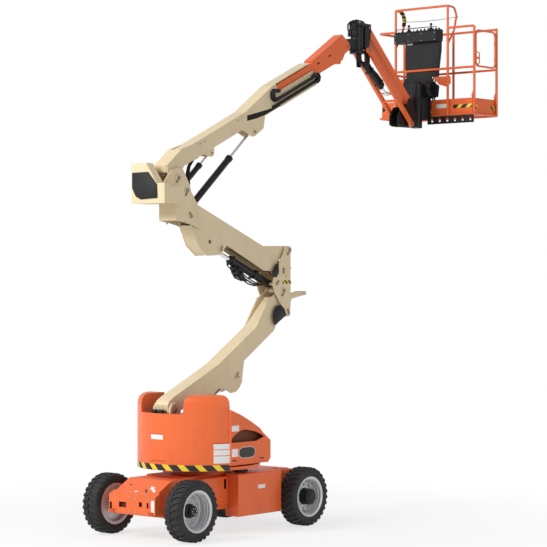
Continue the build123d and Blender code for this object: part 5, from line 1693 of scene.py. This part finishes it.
@dataclass
class Studio:
    """Pale floor, soft light and the camera."""

    camera_place: Point = (-17.806, -15.911, 3.034)
    look: Point = (0.76700, 0.64160, 0.0)
    lens: float = 132.37
    sensor: float = 36.0
    floor_half: float = 60.0
    fade_from: float = 1.6
    fade_to: float = 6.5
    near_glow: float = 0.72
    surround: float = 0.55

    def build_floor(self) -> None:
        """A wide pale floor that keeps the object's shadow."""
        deselect()
        bpy.ops.mesh.primitive_plane_add(size=2 * self.floor_half, location=(0, 0, 0))
        floor = bpy.context.object
        settle(floor)
        floor.name = "studio_floor"
        graph = Graph("studio_floor_paper")
        graph.set(Base_Color=(0.86, 0.86, 0.86), Roughness=0.9, Specular_IOR_Level=0.1)
        floor.data.materials.append(graph.material)
        path = graph.tree.nodes.new("ShaderNodeLightPath")
        glow = graph.tree.nodes.new("ShaderNodeEmission")
        glow.inputs["Color"].default_value = (1.0, 1.0, 1.0, 1.0)
        blend = graph.tree.nodes.new("ShaderNodeMixShader")
        bounced = graph.math("MAXIMUM", path.outputs["Is Glossy Ray"], path.outputs["Is Transmission Ray"])
        seen = graph.math("MAXIMUM", path.outputs["Is Camera Ray"], bounced)
        away = graph.tree.nodes.new("ShaderNodeVectorMath")
        away.operation = "LENGTH"
        graph.link(graph.place, away.inputs[0])
        fade = graph.tree.nodes.new("ShaderNodeMapRange")
        fade.interpolation_type = "SMOOTHSTEP"
        graph.link(away.outputs["Value"], fade.inputs["Value"])
        fade.inputs["From Min"].default_value = self.fade_from
        fade.inputs["From Max"].default_value = self.fade_to
        fade.inputs["To Min"].default_value = self.near_glow
        fade.inputs["To Max"].default_value = 1.0
        graph.link(graph.math("MULTIPLY", seen, fade.outputs["Result"]), blend.inputs["Fac"])
        graph.link(graph.shader.outputs["BSDF"], blend.inputs[1])
        graph.link(glow.outputs["Emission"], blend.inputs[2])
        graph.link(blend.outputs["Shader"], graph.output.inputs["Surface"])

    def build_world(self) -> None:
        """White to the camera and through glass, soft pale light elsewhere."""
        world = bpy.data.worlds.new("studio_surround")
        bpy.context.scene.world = world
        world.use_nodes = True
        tree = world.node_tree
        tree.nodes.clear()
        output = tree.nodes.new("ShaderNodeOutputWorld")
        path = tree.nodes.new("ShaderNodeLightPath")
        seen = tree.nodes.new("ShaderNodeMath")
        seen.operation = "MAXIMUM"
        tree.links.new(path.outputs["Is Camera Ray"], seen.inputs[0])
        tree.links.new(path.outputs["Is Transmission Ray"], seen.inputs[1])
        white = tree.nodes.new("ShaderNodeBackground")
        white.inputs["Strength"].default_value = 1.0
        white.inputs["Color"].default_value = (1, 1, 1, 1)
        soft = tree.nodes.new("ShaderNodeBackground")
        soft.inputs["Color"].default_value = (0.95, 0.97, 1.0, 1)
        soft.inputs["Strength"].default_value = self.surround
        blend = tree.nodes.new("ShaderNodeMixShader")
        tree.links.new(seen.outputs[0], blend.inputs["Fac"])
        tree.links.new(soft.outputs[0], blend.inputs[1])
        tree.links.new(white.outputs[0], blend.inputs[2])
        tree.links.new(blend.outputs[0], output.inputs["Surface"])

    def lamp(self, name: str, place: Point, aim: Point, size: float, power: float) -> None:
        """A soft square lamp.

        Args:
            name: its name.
            place: where it hangs.
            aim: what it points at.
            size: length of its side.
            power: its power in watts.
        """
        data = bpy.data.lights.new(name, "AREA")
        data.shape = "SQUARE"
        data.size = size
        data.energy = power
        obj = bpy.data.objects.new(name, data)
        bpy.context.scene.collection.objects.link(obj)
        obj.location = place
        obj.rotation_euler = (Vector(aim) - Vector(place)).to_track_quat("-Z", "Y").to_euler()

    def build_camera(self) -> None:
        """The camera at the machine's near rear corner."""
        data = bpy.data.cameras.new("studio_camera")
        data.lens = self.lens
        data.sensor_width = self.sensor
        data.clip_end = 200.0
        camera = bpy.data.objects.new("studio_camera", data)
        bpy.context.scene.collection.objects.link(camera)
        camera.location = self.camera_place
        camera.rotation_euler = Vector(self.look).to_track_quat("-Z", "Y").to_euler()
        bpy.context.scene.camera = camera

    def build(self) -> None:
        """Builds the whole studio."""
        self.build_floor()
        self.build_world()
        self.lamp("key_lamp", (-13.0, 3.0, 11.0), (0.5, 0.0, 3.5), 5.0, 1950.0)
        self.lamp("fill_lamp", (0.0, -16.0, 6.0), (1.0, 0.0, 3.0), 8.0, 300.0)
        self.build_camera()
        bpy.context.scene.view_settings.view_transform = "Standard"
        LOG.info("studio")


# ---------------------------------------------------------------- assembly

SLOT_FINISH = {
    "orange_paint": ORANGE,
    "cream_paint": CREAM,
    "black_paint": BLACK,
    "bronze_paint": BRONZE,
    "black_plastic": PLASTIC,
    "chrome_rod": CHROME,
    "tyre_rubber": TYRE,
    "silver_rim": SILVER,
}


def dress_frame(frame: dict) -> None:
    """Gives every CAD node its finish, by its material slot.

    Args:
        frame: the loaded frame.
    """
    for row in frame["record"]["subparts"]:
        node = frame["nodes"][row["node"]]
        node.data.materials.clear()
        node.data.materials.append(material(SLOT_FINISH[row["material_slot"]]))


def main() -> None:
    """Builds the boom lift's looks in order."""
    logging.basicConfig(level=logging.INFO, format="%(message)s")
    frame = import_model()
    deselect()
    dress_frame(frame)
    for name, body, x, side, driven in (
        ("steer_left", "steer_wheel_left", -AXLE_X, Side.FAR, False),
        ("steer_right", "steer_wheel_right", -AXLE_X, Side.NEAR, False),
        ("drive_left", "drive_wheel_left", AXLE_X, Side.FAR, True),
        ("drive_right", "drive_wheel_right", AXLE_X, Side.NEAR, True),
    ):
        Wheel(name, body, x, side, driven).build()
    FacePaint().build(frame)
    Hood().build()
    Chassis().build()
    PinKeepers().build()
    Linkage().build()
    MainBoom().build()
    Jib().build()
    Platform().build()
    Studio().build()


if __name__ == "__main__":
    main()
